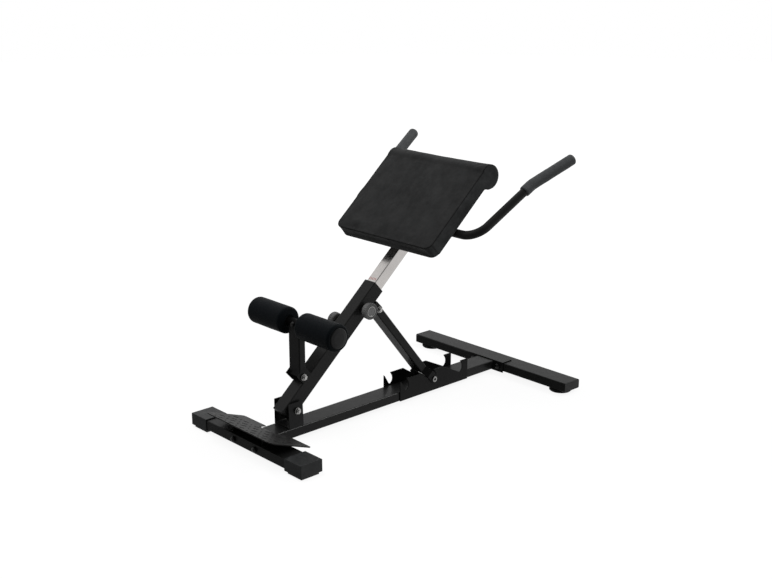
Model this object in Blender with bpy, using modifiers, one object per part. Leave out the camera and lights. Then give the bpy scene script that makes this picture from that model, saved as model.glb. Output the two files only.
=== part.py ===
"""Hyperextension bench with a folding upright, a ladder strut, ankle rollers and a sliding hip pad.

The base lies on the floor: a front bar with a sloping foot plate, a beam, and a rear bar.
The upright turns on a bolt in the pivot bracket. Its strut stands in one of the ladder's notches.
Stations are measured along X from the front face of the front bar's caps. Everything hangs on
empties, one on each joint's axis. Z is up, Y points across the bench, "near" is its -Y side.
"""

import math

import bmesh
import bpy
from mathutils import Matrix, Vector

NAME = "hyperextension_bench"
GAP = 0.0003
SIDES = (("near", -1), ("far", 1))

# Floor tubes
BAR_DEPTH = 0.075
BAR_HEIGHT = 0.031
BAR_WALL = 0.0015
BAR_BEND = 0.0025
BAR_BOTTOM = 0.0125
FRONT_BAR_LENGTH = 0.540
REAR_BAR_STATION = 1.071
REAR_BAR_LENGTH = 0.714
BEAM_WIDTH = 0.076

# Moulded end caps of the front bar
CAP_SIDE_WALL = 0.002
CAP_TOP_WALL = 0.0035
CAP_END_WALL = 0.004
CAP_COVER = 0.074
CAP_FOOT_INSET = 0.007

# End plugs and feet of the rear bar
PLUG_FLANGE = 0.003
PLUG_DEPTH = 0.016
REAR_FOOT_RADIUS = 0.038
REAR_FOOT_INSET = 0.047

# Bolted flanges between the beam and the bars
FLANGE_THICKNESS = 0.003
FLANGE_WIDTH = 0.163
FLANGE_DROP = 0.004
FLANGE_LIP = 0.047
FRONT_BOLT_SPACING = 0.106
REAR_BOLT_SPACING = 0.117
FLANGE_BOLT_RADIUS = 0.004
BOLT_COVER_RADIUS = 0.009
BOLT_COVER_HEIGHT = 0.008

# Foot plate
FOOT_PLATE_OVERHANG = 0.0215
FOOT_PLATE_FRONT_HEIGHT = 0.090
FOOT_PLATE_TILT = math.radians(20.3)
FOOT_PLATE_LENGTH = 0.158
FOOT_PLATE_WIDTH = 0.334
FOOT_PLATE_THICKNESS = 0.003
FOOT_PLATE_FRONT_CORNER = 0.020
FOOT_PLATE_REAR_CORNER = 0.008
FOOT_NOTCH_CLEARANCE = 0.0025
FOOT_NOTCH_FLARE = 0.0155
RIB_THICKNESS = 0.004
RIB_SPACING = 0.146
RIB_STATION = 0.015
RIB_LENGTH = 0.057
TREAD_LENGTH = 0.016
TREAD_WIDTH = 0.004
TREAD_HEIGHT = 0.0008
TREAD_PITCH = 0.027
TREAD_MARGIN = 0.018

# Pivot bracket and the upright's hinge
PIVOT_STATION = 0.179
PIVOT_HEIGHT = 0.0975
PIVOT_BRACKET_WIDTH = 0.074
PIVOT_BRACKET_LENGTH = 0.056
PIVOT_BRACKET_HEIGHT = 0.081
PIVOT_BRACKET_WALL = 0.0035
PIVOT_BRACKET_LEAD = 0.032
SLEEVE_RADIUS = 0.009

# Upright tube, in the frame of its hinge
UPRIGHT_TILT = math.radians(41.4)
UPRIGHT_SIZE = 0.050
UPRIGHT_WALL = 0.0015
UPRIGHT_BEND = 0.002
UPRIGHT_TAIL = 0.0288
UPRIGHT_LENGTH = 0.505
UPRIGHT_RISE = 0.0101
LINER_LENGTH = 0.050
LINER_LIP = 0.0008

# Ladder plates beside the beam
LADDER_THICKNESS = 0.003
LADDER_FRONT = 0.0275
LADDER_REAR = 0.0385
LADDER_HEIGHT = 0.0745
NOTCH_PITCH = 0.1275
NOTCH_STATION = 0.636
NOTCH_HEIGHT = 0.0535
NOTCH_WALL = 0.0118
NOTCH_TIP = 0.0015
RAMP_RUNS = (0.019, 0.0638, 0.083)
HORN_DROP = 0.008

# Strut
STRUT_HINGE_X = 0.4247
STRUT_HINGE_DROP = 0.0427
STRUT_WIDTH = 0.050
STRUT_DEPTH = 0.028
STRUT_WALL = 0.0015
STRUT_BEND = 0.002
STRUT_HEAD = 0.0145
STRUT_TUBE_END = 0.049
STRUT_EAR_WIDTH = 0.029
STRUT_EAR_THICKNESS = 0.003
STRUT_EAR_TOP = 0.096
STRUT_EAR_BEND = 0.046
STRUT_EAR_FLAT = 0.028
STRUT_EAR_END = 0.015
PIN_RADIUS = 0.006
PIN_SEAT_CLEARANCE = 0.0005
PIN_HEAD_RADIUS = 0.010
PIN_HEAD_HEIGHT = 0.004
PIN_SOCKET = 0.008
STRUT_BRACKET_LEAD = 0.013
STRUT_BRACKET_LENGTH = 0.048
STRUT_BRACKET_WALL = 0.003
STRUT_BRACKET_NOSE = 0.015

# Bolts of the frame
BOLT_RADIUS = 0.005
HEAD_FLATS = 0.016
HEAD_HEIGHT = 0.0065
WASHER_RADIUS = 0.0105
WASHER_HEIGHT = 0.0018
NUT_HEIGHT = 0.008
THREAD_STICKOUT = 0.003

# Roller post on the upright's front face
POST_BOLT_X = 0.0905
POST_BOLT_RISE = 0.0171
POST_WIDTH = 0.052
POST_DEPTH = 0.0245
POST_WALL = 0.0015
POST_BEND = 0.002
POST_TOP = 0.1590
POST_SLOT = 0.001
POST_BRACKET_TAIL = 0.0143
POST_BRACKET_LENGTH = 0.040
POST_BRACKET_HEIGHT = 0.0367
POST_BRACKET_WALL = 0.003
AXLE_ABOVE_POST = 0.0072
AXLE_RADIUS = 0.0135
AXLE_WALL = 0.0015
ROLLER_RADIUS = 0.0426
ROLLER_INNER = 0.0367
ROLLER_OUTER = 0.1955
ROLLER_EDGE = 0.006
ROLLER_CAP_RADIUS = 0.032
ROLLER_CAP_HEIGHT = 0.0045

# Pull pin on the near side and clamp screw on the far side
PULL_PIN_X = 0.3866
CLAMP_X = 0.3192
BOSS_RADIUS = 0.011
BOSS_LENGTH = 0.0170
KNOB_RADIUS = 0.027
KNOB_LENGTH = 0.0210
KNOB_EDGE = 0.004
KNOB_FACE_RADIUS = 0.0165
KNOB_FACE_DEPTH = 0.0008
PULL_PIN_RADIUS = 0.005
PIN_CHAMFER = 0.001
KNOB_BORE_DEPTH = 0.010

# Pad post, in the frame of its slide
PAD_POST_SIZE = 0.040
PAD_POST_WALL = 0.0015
PAD_POST_BEND = 0.0015
PAD_POST_START = 0.061
PAD_POST_END = 0.856
HOLE_RADIUS = 0.0055
HOLE_PITCH = 0.040
HOLE_COUNT = 5

# Pad
PAD_START = 0.597
PAD_ROLL_X = 0.9263
PAD_ROLL_RADIUS = 0.041
PAD_ROLL_RISE = 0.0028
PAD_WIDTH = 0.442
PAD_FACE = 0.0994
PAD_CROWN = 0.004
PAD_CORNER = 0.026
PAD_DRAW = 0.002
ROLL_END = -115
ROLL_SWEEP = 200
CAGE_CUTS = 5
CAGE_GATHER = 3.5
BOARD_BACK = 0.0497
BOARD_THICKNESS = 0.012
BOARD_INSET = 0.008
BOARD_END = 0.876
BOARD_CORNER = 0.030
PAD_PLATE_THICKNESS = 0.003
PAD_PLATE_START = 0.650
PAD_PLATE_LENGTH = 0.200
PAD_PLATE_WIDTH = 0.140
PAD_CHEEK_THICKNESS = 0.003
PAD_CHEEK_DROP = 0.012

# Handle bar
HANDLE_RADIUS = 0.014
HANDLE_WALL = 0.0015
HANDLE_X = 0.7145
HANDLE_HALF_SPAN = 0.293
HANDLE_ELBOW = (0.9755, 0.3178, -0.0115)
HANDLE_TIP = (1.1244, 0.3613, -0.0517)
HANDLE_BEND = 0.070
ELBOW_BEND = 0.070
GRIP_RADIUS = 0.018
GRIP_LEAD = 0.030
GRIP_SIDES = 12
GRIP_CAP_HEIGHT = 0.0108

# Values that follow from the ones above
AXLE_HEIGHT = POST_TOP + AXLE_ABOVE_POST
BAR_TOP = BAR_BOTTOM + BAR_HEIGHT
BAR_MIDDLE = BAR_BOTTOM + BAR_HEIGHT / 2
FRONT_BAR_STATION = CAP_SIDE_WALL + GAP
FRONT_BAR_REAR = FRONT_BAR_STATION + BAR_DEPTH
FRONT_FLANGE_STATION = FRONT_BAR_REAR + GAP
REAR_FLANGE_STATION = REAR_BAR_STATION - GAP - FLANGE_THICKNESS
BEAM_START = FRONT_FLANGE_STATION + FLANGE_THICKNESS + GAP
BEAM_END = REAR_FLANGE_STATION - GAP
PIN_STATION = NOTCH_STATION + NOTCH_PITCH
LADDER_Y = BEAM_WIDTH / 2 + GAP + LADDER_THICKNESS / 2
EAR_INNER_Y = LADDER_Y + LADDER_THICKNESS / 2 + GAP
UPRIGHT_FRONT = UPRIGHT_RISE + UPRIGHT_SIZE / 2
UPRIGHT_REAR = UPRIGHT_RISE - UPRIGHT_SIZE / 2
MOUTH_X = UPRIGHT_LENGTH - UPRIGHT_TAIL
BOSS_END_Y = UPRIGHT_SIZE / 2 + GAP + BOSS_LENGTH
KNOB_START_Y = BOSS_END_Y + GAP
HANDLE_Z = PAD_POST_SIZE / 2 + GAP + HANDLE_RADIUS
FOOT_PLATE_BACKSET = FOOT_PLATE_THICKNESS * math.sin(FOOT_PLATE_TILT)
FRONT_END = -FOOT_PLATE_OVERHANG - FOOT_PLATE_BACKSET
REAR_END = REAR_BAR_STATION + BAR_DEPTH / 2 + max(BAR_DEPTH / 2, REAR_FOOT_RADIUS)
MIDDLE_STATION = (FRONT_END + REAR_END) / 2

# Planes of an extruded outline: its first axis, second axis and depth
PLANES = {
    "xy": Matrix(((1, 0, 0, 0), (0, 1, 0, 0), (0, 0, 1, 0), (0, 0, 0, 1))),
    "xz": Matrix(((1, 0, 0, 0), (0, 0, -1, 0), (0, 1, 0, 0), (0, 0, 0, 1))),
    "yz": Matrix(((0, 0, 1, 0), (1, 0, 0, 0), (0, 1, 0, 0), (0, 0, 0, 1))),
}


def clear_scene():
    for item in list(bpy.data.objects):
        bpy.data.objects.remove(item, do_unlink=True)


def new_collection(name):
    group = bpy.data.collections.new(name)
    bpy.context.scene.collection.children.link(group)
    return group


def make_material(name, colour, roughness, metallic=0.0):
    material = bpy.data.materials.new(name)
    material.use_nodes = True
    shader = material.node_tree.nodes["Principled BSDF"]
    shader.inputs["Base Color"].default_value = (*colour, 1.0)
    shader.inputs["Roughness"].default_value = roughness
    shader.inputs["Metallic"].default_value = metallic
    material.diffuse_color = (*colour, 1.0)
    return material


clear_scene()
PARTS = new_collection(NAME)
CUTTERS = new_collection("cutters")

PAINT = make_material("black_paint", (0.012, 0.012, 0.013), 0.25, 0.3)
MOULDED = make_material("moulded_plastic", (0.030, 0.032, 0.035), 0.45)
RUBBER = make_material("black_rubber", (0.015, 0.015, 0.016), 0.8)
CHROME = make_material("chrome", (0.75, 0.74, 0.72), 0.08, 1.0)
ZINC = make_material("zinc_bolts", (0.70, 0.70, 0.70), 0.22, 1.0)
FOAM = make_material("roller_foam", (0.020, 0.023, 0.026), 0.9)
LEATHER = make_material("upholstery", (0.020, 0.020, 0.021), 0.65)
WOOD = make_material("stained_plywood", (0.018, 0.017, 0.016), 0.75)
KNOB = make_material("knob_plastic", (0.075, 0.077, 0.080), 0.35)


def make_empty(name, parent=None, location=(0, 0, 0), tilt=0.0):
    """An empty whose X axis is raised by tilt towards +Z."""
    empty = bpy.data.objects.new(name, None)
    bpy.context.scene.collection.objects.link(empty)
    empty.parent = parent
    empty.location = location
    empty.rotation_euler = (0, -tilt, 0)
    return empty


def add_object(name, mesh, parent, material=None, location=(0, 0, 0), rotation=(0, 0, 0), smooth=35):
    """Links a mesh as a part, or as a cutter when it has no material."""
    item = bpy.data.objects.new(name, mesh)
    if material is None:
        CUTTERS.objects.link(item)
        item.hide_render = True
        item.display_type = "WIRE"
    else:
        PARTS.objects.link(item)
        mesh.materials.append(material)
    mesh.shade_smooth()
    mesh.set_sharp_from_angle(angle=math.radians(smooth))
    item.parent = parent
    item.location = location
    item.rotation_euler = rotation
    return item


def mesh_from(build):
    """Runs a bmesh builder and returns its mesh."""
    shape = bmesh.new()
    build(shape)
    mesh = bpy.data.meshes.new("shape")
    shape.to_mesh(mesh)
    shape.free()
    return mesh


def box_mesh(low, high):
    """A box between two corners."""
    low, high = Vector(low), Vector(high)
    place = Matrix.Translation((low + high) / 2) @ Matrix.Diagonal((*(high - low), 1))
    return mesh_from(lambda shape: bmesh.ops.create_cube(shape, size=1, matrix=place))


def rod_mesh(radius, start, end, segments=24):
    """A cylinder between two points."""
    start, end = Vector(start), Vector(end)
    run = end - start
    turn = run.to_track_quat("Z", "Y").to_matrix().to_4x4()
    place = Matrix.Translation((start + end) / 2) @ turn
    return mesh_from(lambda shape: bmesh.ops.create_cone(
        shape, cap_ends=True, segments=segments, radius1=radius, radius2=radius,
        depth=run.length, matrix=place))


def mesh_from_curve(curve, place=Matrix.Identity(4)):
    """The closed mesh of a curve, with its caps welded on."""
    holder = bpy.data.objects.new("outline", curve)
    bpy.context.scene.collection.objects.link(holder)
    holder.matrix_world = place
    bpy.context.view_layer.update()
    shown = holder.evaluated_get(bpy.context.evaluated_depsgraph_get())
    mesh = bpy.data.meshes.new_from_object(shown)
    mesh.transform(holder.matrix_world)
    shape = bmesh.new()
    shape.from_mesh(mesh)
    bmesh.ops.remove_doubles(shape, verts=shape.verts, dist=0.00001)
    bmesh.ops.recalc_face_normals(shape, faces=shape.faces)
    shape.to_mesh(mesh)
    shape.free()
    bpy.data.objects.remove(holder, do_unlink=True)
    bpy.data.curves.remove(curve)
    return mesh


def slab_mesh(points, plane, start, end, fill="BOTH"):
    """A closed outline in a plane, filled between two depths. Without fill it is an open sleeve."""
    curve = bpy.data.curves.new("outline", "CURVE")
    curve.dimensions = "2D"
    curve.fill_mode = fill
    curve.extrude = abs(end - start) / 2
    spline = curve.splines.new("POLY")
    spline.points.add(len(points) - 1)
    for slot, (first, second) in zip(spline.points, points):
        slot.co = (first, second, 0, 1)
    spline.use_cyclic_u = True
    sign = -1 if plane == "xz" else 1
    return mesh_from_curve(curve, PLANES[plane] @ Matrix.Translation((0, 0, sign * (start + end) / 2)))


def around(radius, sides):
    """Radius of a bore with that many sides whose flats clear a round rod."""
    return (radius + GAP) / math.cos(math.pi / sides)


def pipe_mesh(points, radius, sides=10):
    """A rod along points, its number of sides even."""
    curve = bpy.data.curves.new("path", "CURVE")
    curve.dimensions = "3D"
    curve.bevel_depth = radius
    curve.bevel_resolution = sides // 2 - 2
    curve.use_fill_caps = True
    spline = curve.splines.new("POLY")
    spline.points.add(len(points) - 1)
    for slot, point in zip(spline.points, points):
        slot.co = (*point, 1)
    return mesh_from_curve(curve)


def turned(name, profile, parent, material, location=(0, 0, 0), rotation=(0, 0, 0), closed=False, steps=32):
    """A turned piece about its Z axis. The profile runs down its outer side."""
    mesh = bpy.data.meshes.new(name)
    count = len(profile)
    links = [(i, i + 1) for i in range(count - 1)]
    if closed:
        links.append((count - 1, 0))
    mesh.from_pydata([(radius, 0, height) for radius, height in profile], links, [])
    item = add_object(name, mesh, parent, material, location, rotation)
    screw = item.modifiers.new("turn", "SCREW")
    screw.steps = steps
    screw.render_steps = steps
    screw.use_merge_vertices = True
    screw.merge_threshold = 0.00001
    screw.use_smooth_shade = True
    return item


def arc(centre, radius, start, end, count):
    """Points on an arc, angles in degrees, both ends included."""
    turns = [math.radians(start + (end - start) * i / count) for i in range(count + 1)]
    return [(centre[0] + radius * math.cos(t), centre[1] + radius * math.sin(t)) for t in turns]


def rounded_rectangle(width, height, radius, centre=(0, 0), count=3):
    half_w = width / 2 - radius
    half_h = height / 2 - radius
    corners = ((half_w, half_h, 0), (-half_w, half_h, 90), (-half_w, -half_h, 180), (half_w, -half_h, 270))
    points = []
    for x, y, turn in corners:
        points += arc((centre[0] + x, centre[1] + y), radius, turn, turn + 90, count)
    return points


def box_tube(name, parent, size, wall, bend, plane, start, end, centre=(0, 0)):
    """A rectangular tube. Its bend is the inner radius of its corners."""
    sleeve = slab_mesh(rounded_rectangle(*size, wall + bend, centre), plane, start, end, "NONE")
    tube = add_object(name, sleeve, parent, PAINT)
    solid = tube.modifiers.new("wall", "SOLIDIFY")
    solid.thickness = wall
    solid.offset = -1
    solid.use_even_offset = True
    return tube


def tube_plug(name, parent, size, wall, bend, plane, end, side, centre=(0, 0)):
    """A moulded plug for a rectangular tube that ends at that depth and points to that side."""
    face = end + side * GAP
    rim = sorted((face, face + side * PLUG_FLANGE))
    flange = slab_mesh(rounded_rectangle(*size, wall + bend, centre), plane, *rim)
    plug = add_object(name, flange, parent, MOULDED)
    fit = [value - 2 * (wall + GAP) for value in size]
    reach = sorted((face + side * GAP, end - side * PLUG_DEPTH))
    insert = slab_mesh(rounded_rectangle(*fit, bend, centre), plane, *reach)
    combine(plug, insert, parent, "UNION")
    return plug


def combine(item, mesh, parent, operation="DIFFERENCE", location=(0, 0, 0), rotation=(0, 0, 0)):
    """Cuts a mesh from a part, or joins it on, in the frame of the given parent."""
    cutter = add_object("cutter_" + item.name, mesh, parent, None, location, rotation)
    boolean = item.modifiers.new(operation.lower(), "BOOLEAN")
    boolean.operation = operation
    boolean.object = cutter
    boolean.solver = "EXACT"
    return cutter


def round_edges(item, width, segments=2, angle=50):
    bevel = item.modifiers.new("rounded_edges", "BEVEL")
    bevel.width = width
    bevel.segments = segments
    bevel.limit_method = "ANGLE"
    bevel.angle_limit = math.radians(angle)
    bevel.harden_normals = False


def outward(side):
    """Rotation that turns a piece's Z axis to the near or the far side."""
    return (math.radians(-90 * side), 0, 0)


def hex_bolt(name, parent, side, face, length, location=(0, 0, 0)):
    """A bolt along Y with a washer and a hexagon head against the outer face at that side."""
    head_start = face + GAP + WASHER_HEIGHT
    head_end = head_start + HEAD_HEIGHT
    tip = face + GAP - length
    profile = [
        (0, head_start), (WASHER_RADIUS, head_start), (WASHER_RADIUS, face + GAP),
        (BOLT_RADIUS, face + GAP), (BOLT_RADIUS, tip), (0, tip),
    ]
    turn = outward(side)
    bolt = turned(name, profile, parent, ZINC, location, turn, steps=20)
    head = rod_mesh(HEAD_FLATS / math.sqrt(3), (0, 0, face + 2 * GAP), (0, 0, head_end), 6)
    combine(bolt, head, parent, "UNION", location, turn)
    return bolt


def hex_nut(name, parent, side, face, location=(0, 0, 0)):
    """A washer-faced nut on a bolt along Y."""
    turn = outward(side)
    base = rod_mesh(WASHER_RADIUS, (0, 0, face + GAP), (0, 0, face + GAP + WASHER_HEIGHT), 20)
    nut = add_object(name, base, parent, ZINC, location, turn)
    body = rod_mesh(HEAD_FLATS / math.sqrt(3), (0, 0, face + 2 * GAP), (0, 0, face + NUT_HEIGHT), 6)
    combine(nut, body, parent, "UNION", location, turn)
    bore = rod_mesh(BOLT_RADIUS + GAP, (0, 0, face - GAP), (0, 0, face + 2 * NUT_HEIGHT), 20)
    combine(nut, bore, parent, "DIFFERENCE", location, turn)
    return nut


def bolted_pair(name, parent, half_width, location):
    """Bolt through two ears, its head on the far side and its nut on the near side."""
    length = 2 * (half_width + GAP) + NUT_HEIGHT + THREAD_STICKOUT
    hex_bolt(name + "_bolt", parent, 1, half_width, length, location)
    hex_nut(name + "_nut", parent, -1, half_width, location)


def cross_hole(item, parent, radius, x, z, half_width):
    """A hole along Y through a part."""
    combine(item, rod_mesh(radius, (x, -half_width, z), (x, half_width, z)), parent)


def front_hole(item, parent, radius, start, end, y, z):
    """A hole along X through a part."""
    combine(item, rod_mesh(radius, (start, y, z), (end, y, z), 16), parent)


def make_floor_bars(base):
    size = (BAR_DEPTH, BAR_HEIGHT)
    front = (FRONT_BAR_STATION + BAR_DEPTH / 2, BAR_MIDDLE)
    half = FRONT_BAR_LENGTH / 2
    bar = box_tube("front_bar", base, size, BAR_WALL, BAR_BEND, "xz", -half, half, front)
    for _, side in SIDES:
        front_hole(bar, base, FLANGE_BOLT_RADIUS + GAP, FRONT_BAR_STATION - GAP, FRONT_BAR_REAR + GAP,
                   side * FRONT_BOLT_SPACING / 2, BAR_MIDDLE)
    rear = (REAR_BAR_STATION + BAR_DEPTH / 2, BAR_MIDDLE)
    half = REAR_BAR_LENGTH / 2
    bar = box_tube("rear_bar", base, size, BAR_WALL, BAR_BEND, "xz", -half, half, rear)
    for _, side in SIDES:
        front_hole(bar, base, FLANGE_BOLT_RADIUS + GAP, REAR_BAR_STATION - GAP,
                   REAR_BAR_STATION + BAR_DEPTH / 2, side * REAR_BOLT_SPACING / 2, BAR_MIDDLE)


def make_front_caps(base):
    depth = BAR_DEPTH + 2 * (CAP_SIDE_WALL + GAP)
    bottom = BAR_BOTTOM - GAP - CAP_TOP_WALL
    top = BAR_TOP + GAP + CAP_TOP_WALL
    bar_end = FRONT_BAR_LENGTH / 2
    inner = bar_end - CAP_COVER
    outer = bar_end + GAP + CAP_END_WALL
    for label, side in SIDES:
        low, high = sorted((side * inner, side * outer))
        shell = box_mesh((0, low, bottom), (depth, high, top))
        cap = add_object(f"front_cap_{label}", shell, base, MOULDED)
        inset = CAP_FOOT_INSET
        foot = box_mesh((inset, low + inset, 0), (depth - inset, high - inset, bottom + GAP))
        combine(cap, foot, base, "UNION")
        pocket = sorted((side * (inner - GAP), side * (bar_end + GAP)))
        hollow = box_mesh((CAP_SIDE_WALL, pocket[0], bottom + CAP_TOP_WALL),
                          (depth - CAP_SIDE_WALL, pocket[1], top - CAP_TOP_WALL))
        combine(cap, hollow, base)
        round_edges(cap, min(0.0012, CAP_SIDE_WALL / 2))


def make_rear_ends(base):
    centre = (REAR_BAR_STATION + BAR_DEPTH / 2, BAR_MIDDLE)
    end = REAR_BAR_LENGTH / 2
    size = (BAR_DEPTH, BAR_HEIGHT)
    for label, side in SIDES:
        tube_plug(f"rear_plug_{label}", base, size, BAR_WALL, BAR_BEND, "xz", side * end, side, centre)
        top = BAR_BOTTOM - GAP
        chamfer = top / 5
        profile = [
            (0, top), (REAR_FOOT_RADIUS - chamfer, top), (REAR_FOOT_RADIUS, top - chamfer),
            (REAR_FOOT_RADIUS, chamfer), (REAR_FOOT_RADIUS - chamfer, 0), (0, 0),
        ]
        spot = (centre[0], side * (end - REAR_FOOT_INSET), 0)
        turned(f"rear_foot_{label}", profile, base, RUBBER, spot)


def make_flanges(base):
    half = FLANGE_WIDTH / 2
    low = BAR_BOTTOM - FLANGE_DROP
    front = add_object("front_flange", box_mesh(
        (FRONT_FLANGE_STATION, -half, low),
        (FRONT_FLANGE_STATION + FLANGE_THICKNESS, half, BAR_TOP)), base, PAINT)
    for _, side in SIDES:
        front_hole(front, base, FLANGE_BOLT_RADIUS + GAP, FRONT_FLANGE_STATION - GAP,
                   FRONT_FLANGE_STATION + 2 * FLANGE_THICKNESS, side * FRONT_BOLT_SPACING / 2, BAR_MIDDLE)
    start = REAR_FLANGE_STATION
    lip_bottom = BAR_TOP + GAP
    lip_top = lip_bottom + FLANGE_THICKNESS
    outline = [
        (start, low), (start + FLANGE_THICKNESS, low), (start + FLANGE_THICKNESS, lip_bottom),
        (start + FLANGE_LIP, lip_bottom), (start + FLANGE_LIP, lip_top), (start, lip_top),
    ]
    rear = add_object("rear_flange", slab_mesh(outline, "xz", -half, half), base, PAINT)
    for _, side in SIDES:
        front_hole(rear, base, FLANGE_BOLT_RADIUS + GAP, start - GAP, start + 2 * FLANGE_THICKNESS,
                   side * REAR_BOLT_SPACING / 2, BAR_MIDDLE)


def make_flange_bolts(base):
    """Bolts along X whose covers face the front."""
    rear_length = FLANGE_THICKNESS + BAR_WALL + THREAD_STICKOUT + 0.004
    front_length = BAR_DEPTH + 2 * FLANGE_THICKNESS + THREAD_STICKOUT
    rows = (
        ("front_bolt", FRONT_BAR_STATION, FRONT_BOLT_SPACING, front_length, MOULDED),
        ("rear_bolt", REAR_FLANGE_STATION, REAR_BOLT_SPACING, rear_length, ZINC),
    )
    dome = BOLT_COVER_HEIGHT / 2
    for name, station, spacing, length, material in rows:
        profile = [(0, BOLT_COVER_HEIGHT + GAP)]
        for turn in (math.pi / 6, math.pi / 3, math.pi / 2):
            height = GAP + dome + dome * math.cos(turn)
            profile.append((BOLT_COVER_RADIUS * math.sin(turn), height))
        profile += [(BOLT_COVER_RADIUS, GAP), (FLANGE_BOLT_RADIUS, GAP),
                    (FLANGE_BOLT_RADIUS, -length), (0, -length)]
        for label, side in SIDES:
            turned(f"{name}_{label}", profile, base, material, (station, side * spacing / 2, BAR_MIDDLE),
                   (0, math.radians(-90), 0), steps=20)


def plate_underside(station):
    """Height of the foot plate's lower face above a station."""
    run = station + FOOT_PLATE_OVERHANG
    drop = FOOT_PLATE_THICKNESS / math.cos(FOOT_PLATE_TILT)
    return FOOT_PLATE_FRONT_HEIGHT - run * math.tan(FOOT_PLATE_TILT) - drop


def foot_notch_start():
    """Distance along the foot plate at which its lower face comes down to the beam."""
    height = FOOT_PLATE_FRONT_HEIGHT - BAR_TOP - FOOT_NOTCH_CLEARANCE
    lower_face = FOOT_PLATE_THICKNESS * math.cos(FOOT_PLATE_TILT)
    return (height - lower_face) / math.sin(FOOT_PLATE_TILT)


def make_foot_plate(base):
    half = FOOT_PLATE_WIDTH / 2
    end = FOOT_PLATE_LENGTH
    front = FOOT_PLATE_FRONT_CORNER
    rear = FOOT_PLATE_REAR_CORNER
    notch = foot_notch_start()
    narrow = BEAM_WIDTH / 2 + FOOT_NOTCH_CLEARANCE
    wide = narrow + FOOT_NOTCH_FLARE
    outline = arc((front, -half + front), front, 180, 270, 4)
    outline += arc((end - rear, -half + rear), rear, 270, 360, 4)
    outline += [(end, -wide), (notch, -narrow), (notch, narrow), (end, wide)]
    outline += arc((end - rear, half - rear), rear, 0, 90, 4)
    outline += arc((front, half - front), front, 90, 180, 4)
    sheet = slab_mesh(outline, "xy", -FOOT_PLATE_THICKNESS, 0)
    corner = (-FOOT_PLATE_OVERHANG, 0, FOOT_PLATE_FRONT_HEIGHT)
    slope = (0, FOOT_PLATE_TILT, 0)
    plate = add_object("foot_plate", sheet, base, PAINT, corner, slope)
    combine(plate, tread_mesh(notch, half), base, "UNION", corner, slope)


def tread_mesh(notch, half):
    """Raised bars in alternating directions over the foot plate."""
    shape = bmesh.new()
    rows = int((notch - 2 * TREAD_MARGIN) / TREAD_PITCH) + 1
    columns = int((half - TREAD_MARGIN) / TREAD_PITCH)
    size = Matrix.Diagonal((TREAD_LENGTH, TREAD_WIDTH, TREAD_HEIGHT + GAP, 1))
    for row in range(rows):
        for column in range(-columns, columns + 1):
            turn = 45 if (row + column) % 2 else -45
            spot = (TREAD_MARGIN + row * TREAD_PITCH, column * TREAD_PITCH, (TREAD_HEIGHT - GAP) / 2)
            place = Matrix.Translation(spot) @ Matrix.Rotation(math.radians(turn), 4, "Z") @ size
            bmesh.ops.create_cube(shape, size=1, matrix=place)
    mesh = bpy.data.meshes.new("treads")
    shape.to_mesh(mesh)
    shape.free()
    return mesh


def make_plate_ribs(base):
    end = RIB_STATION + RIB_LENGTH
    low = BAR_TOP + GAP
    outline = [
        (RIB_STATION, low), (end, low),
        (end, plate_underside(end) - GAP), (RIB_STATION, plate_underside(RIB_STATION) - GAP),
    ]
    for label, side in SIDES:
        middle = side * RIB_SPACING / 2
        mesh = slab_mesh(outline, "xz", middle - RIB_THICKNESS / 2, middle + RIB_THICKNESS / 2)
        add_object(f"plate_rib_{label}", mesh, base, PAINT)


def make_beam(base):
    size = (BEAM_WIDTH, BAR_HEIGHT)
    box_tube("base_beam", base, size, BAR_WALL, BAR_BEND, "yz", BEAM_START, BEAM_END, (0, BAR_MIDDLE))


def u_outline(half_width, wall, height, inner_corner=0.002):
    """A channel that opens upwards, its web at height 0."""
    inner = half_width - wall
    outline = [(-half_width, 0), (half_width, 0), (half_width, height), (inner, height)]
    outline += arc((inner - inner_corner, wall + inner_corner), inner_corner, 0, -90, 3)
    outline += arc((-inner + inner_corner, wall + inner_corner), inner_corner, -90, -180, 3)
    outline += [(-inner, height)]
    return outline


def make_pivot_bracket(base):
    half = PIVOT_BRACKET_WIDTH / 2
    start = PIVOT_STATION - PIVOT_BRACKET_LEAD
    floor = BAR_TOP + GAP
    outline = [(y, z + floor) for y, z in u_outline(half, PIVOT_BRACKET_WALL, PIVOT_BRACKET_HEIGHT)]
    mesh = slab_mesh(outline, "yz", start, start + PIVOT_BRACKET_LENGTH)
    bracket = add_object("pivot_bracket", mesh, base, PAINT)
    cross_hole(bracket, base, BOLT_RADIUS + GAP, PIVOT_STATION, PIVOT_HEIGHT, 2 * half)
    bolted_pair("pivot", base, half, (PIVOT_STATION, 0, PIVOT_HEIGHT))


def notch_outline(index):
    """One ladder notch from its hook's tip down to the seat and up its ramp."""
    x = NOTCH_STATION + index * NOTCH_PITCH
    top = LADDER_HEIGHT + BAR_BOTTOM
    seat = PIN_RADIUS + PIN_SEAT_CLEARANCE
    rise = top - NOTCH_HEIGHT
    run = RAMP_RUNS[index]
    if index == 0:
        rise -= HORN_DROP
    slope = math.degrees(math.atan2(rise + seat, run))
    wall = [(NOTCH_TIP, top - NOTCH_HEIGHT), (NOTCH_WALL * 0.45, 0.028), (NOTCH_WALL * 0.85, 0.020),
            (NOTCH_WALL, 0.012), (NOTCH_WALL * 0.9, 0.003)]
    points = [(x + a, NOTCH_HEIGHT + b) for a, b in wall]
    points += arc((x, NOTCH_HEIGHT), seat, -30, -90 - slope, 5)
    touch = points[-1]
    reach = (NOTCH_HEIGHT + rise - touch[1]) / math.tan(math.radians(slope))
    points.append((touch[0] - reach, NOTCH_HEIGHT + rise))
    return points


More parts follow.
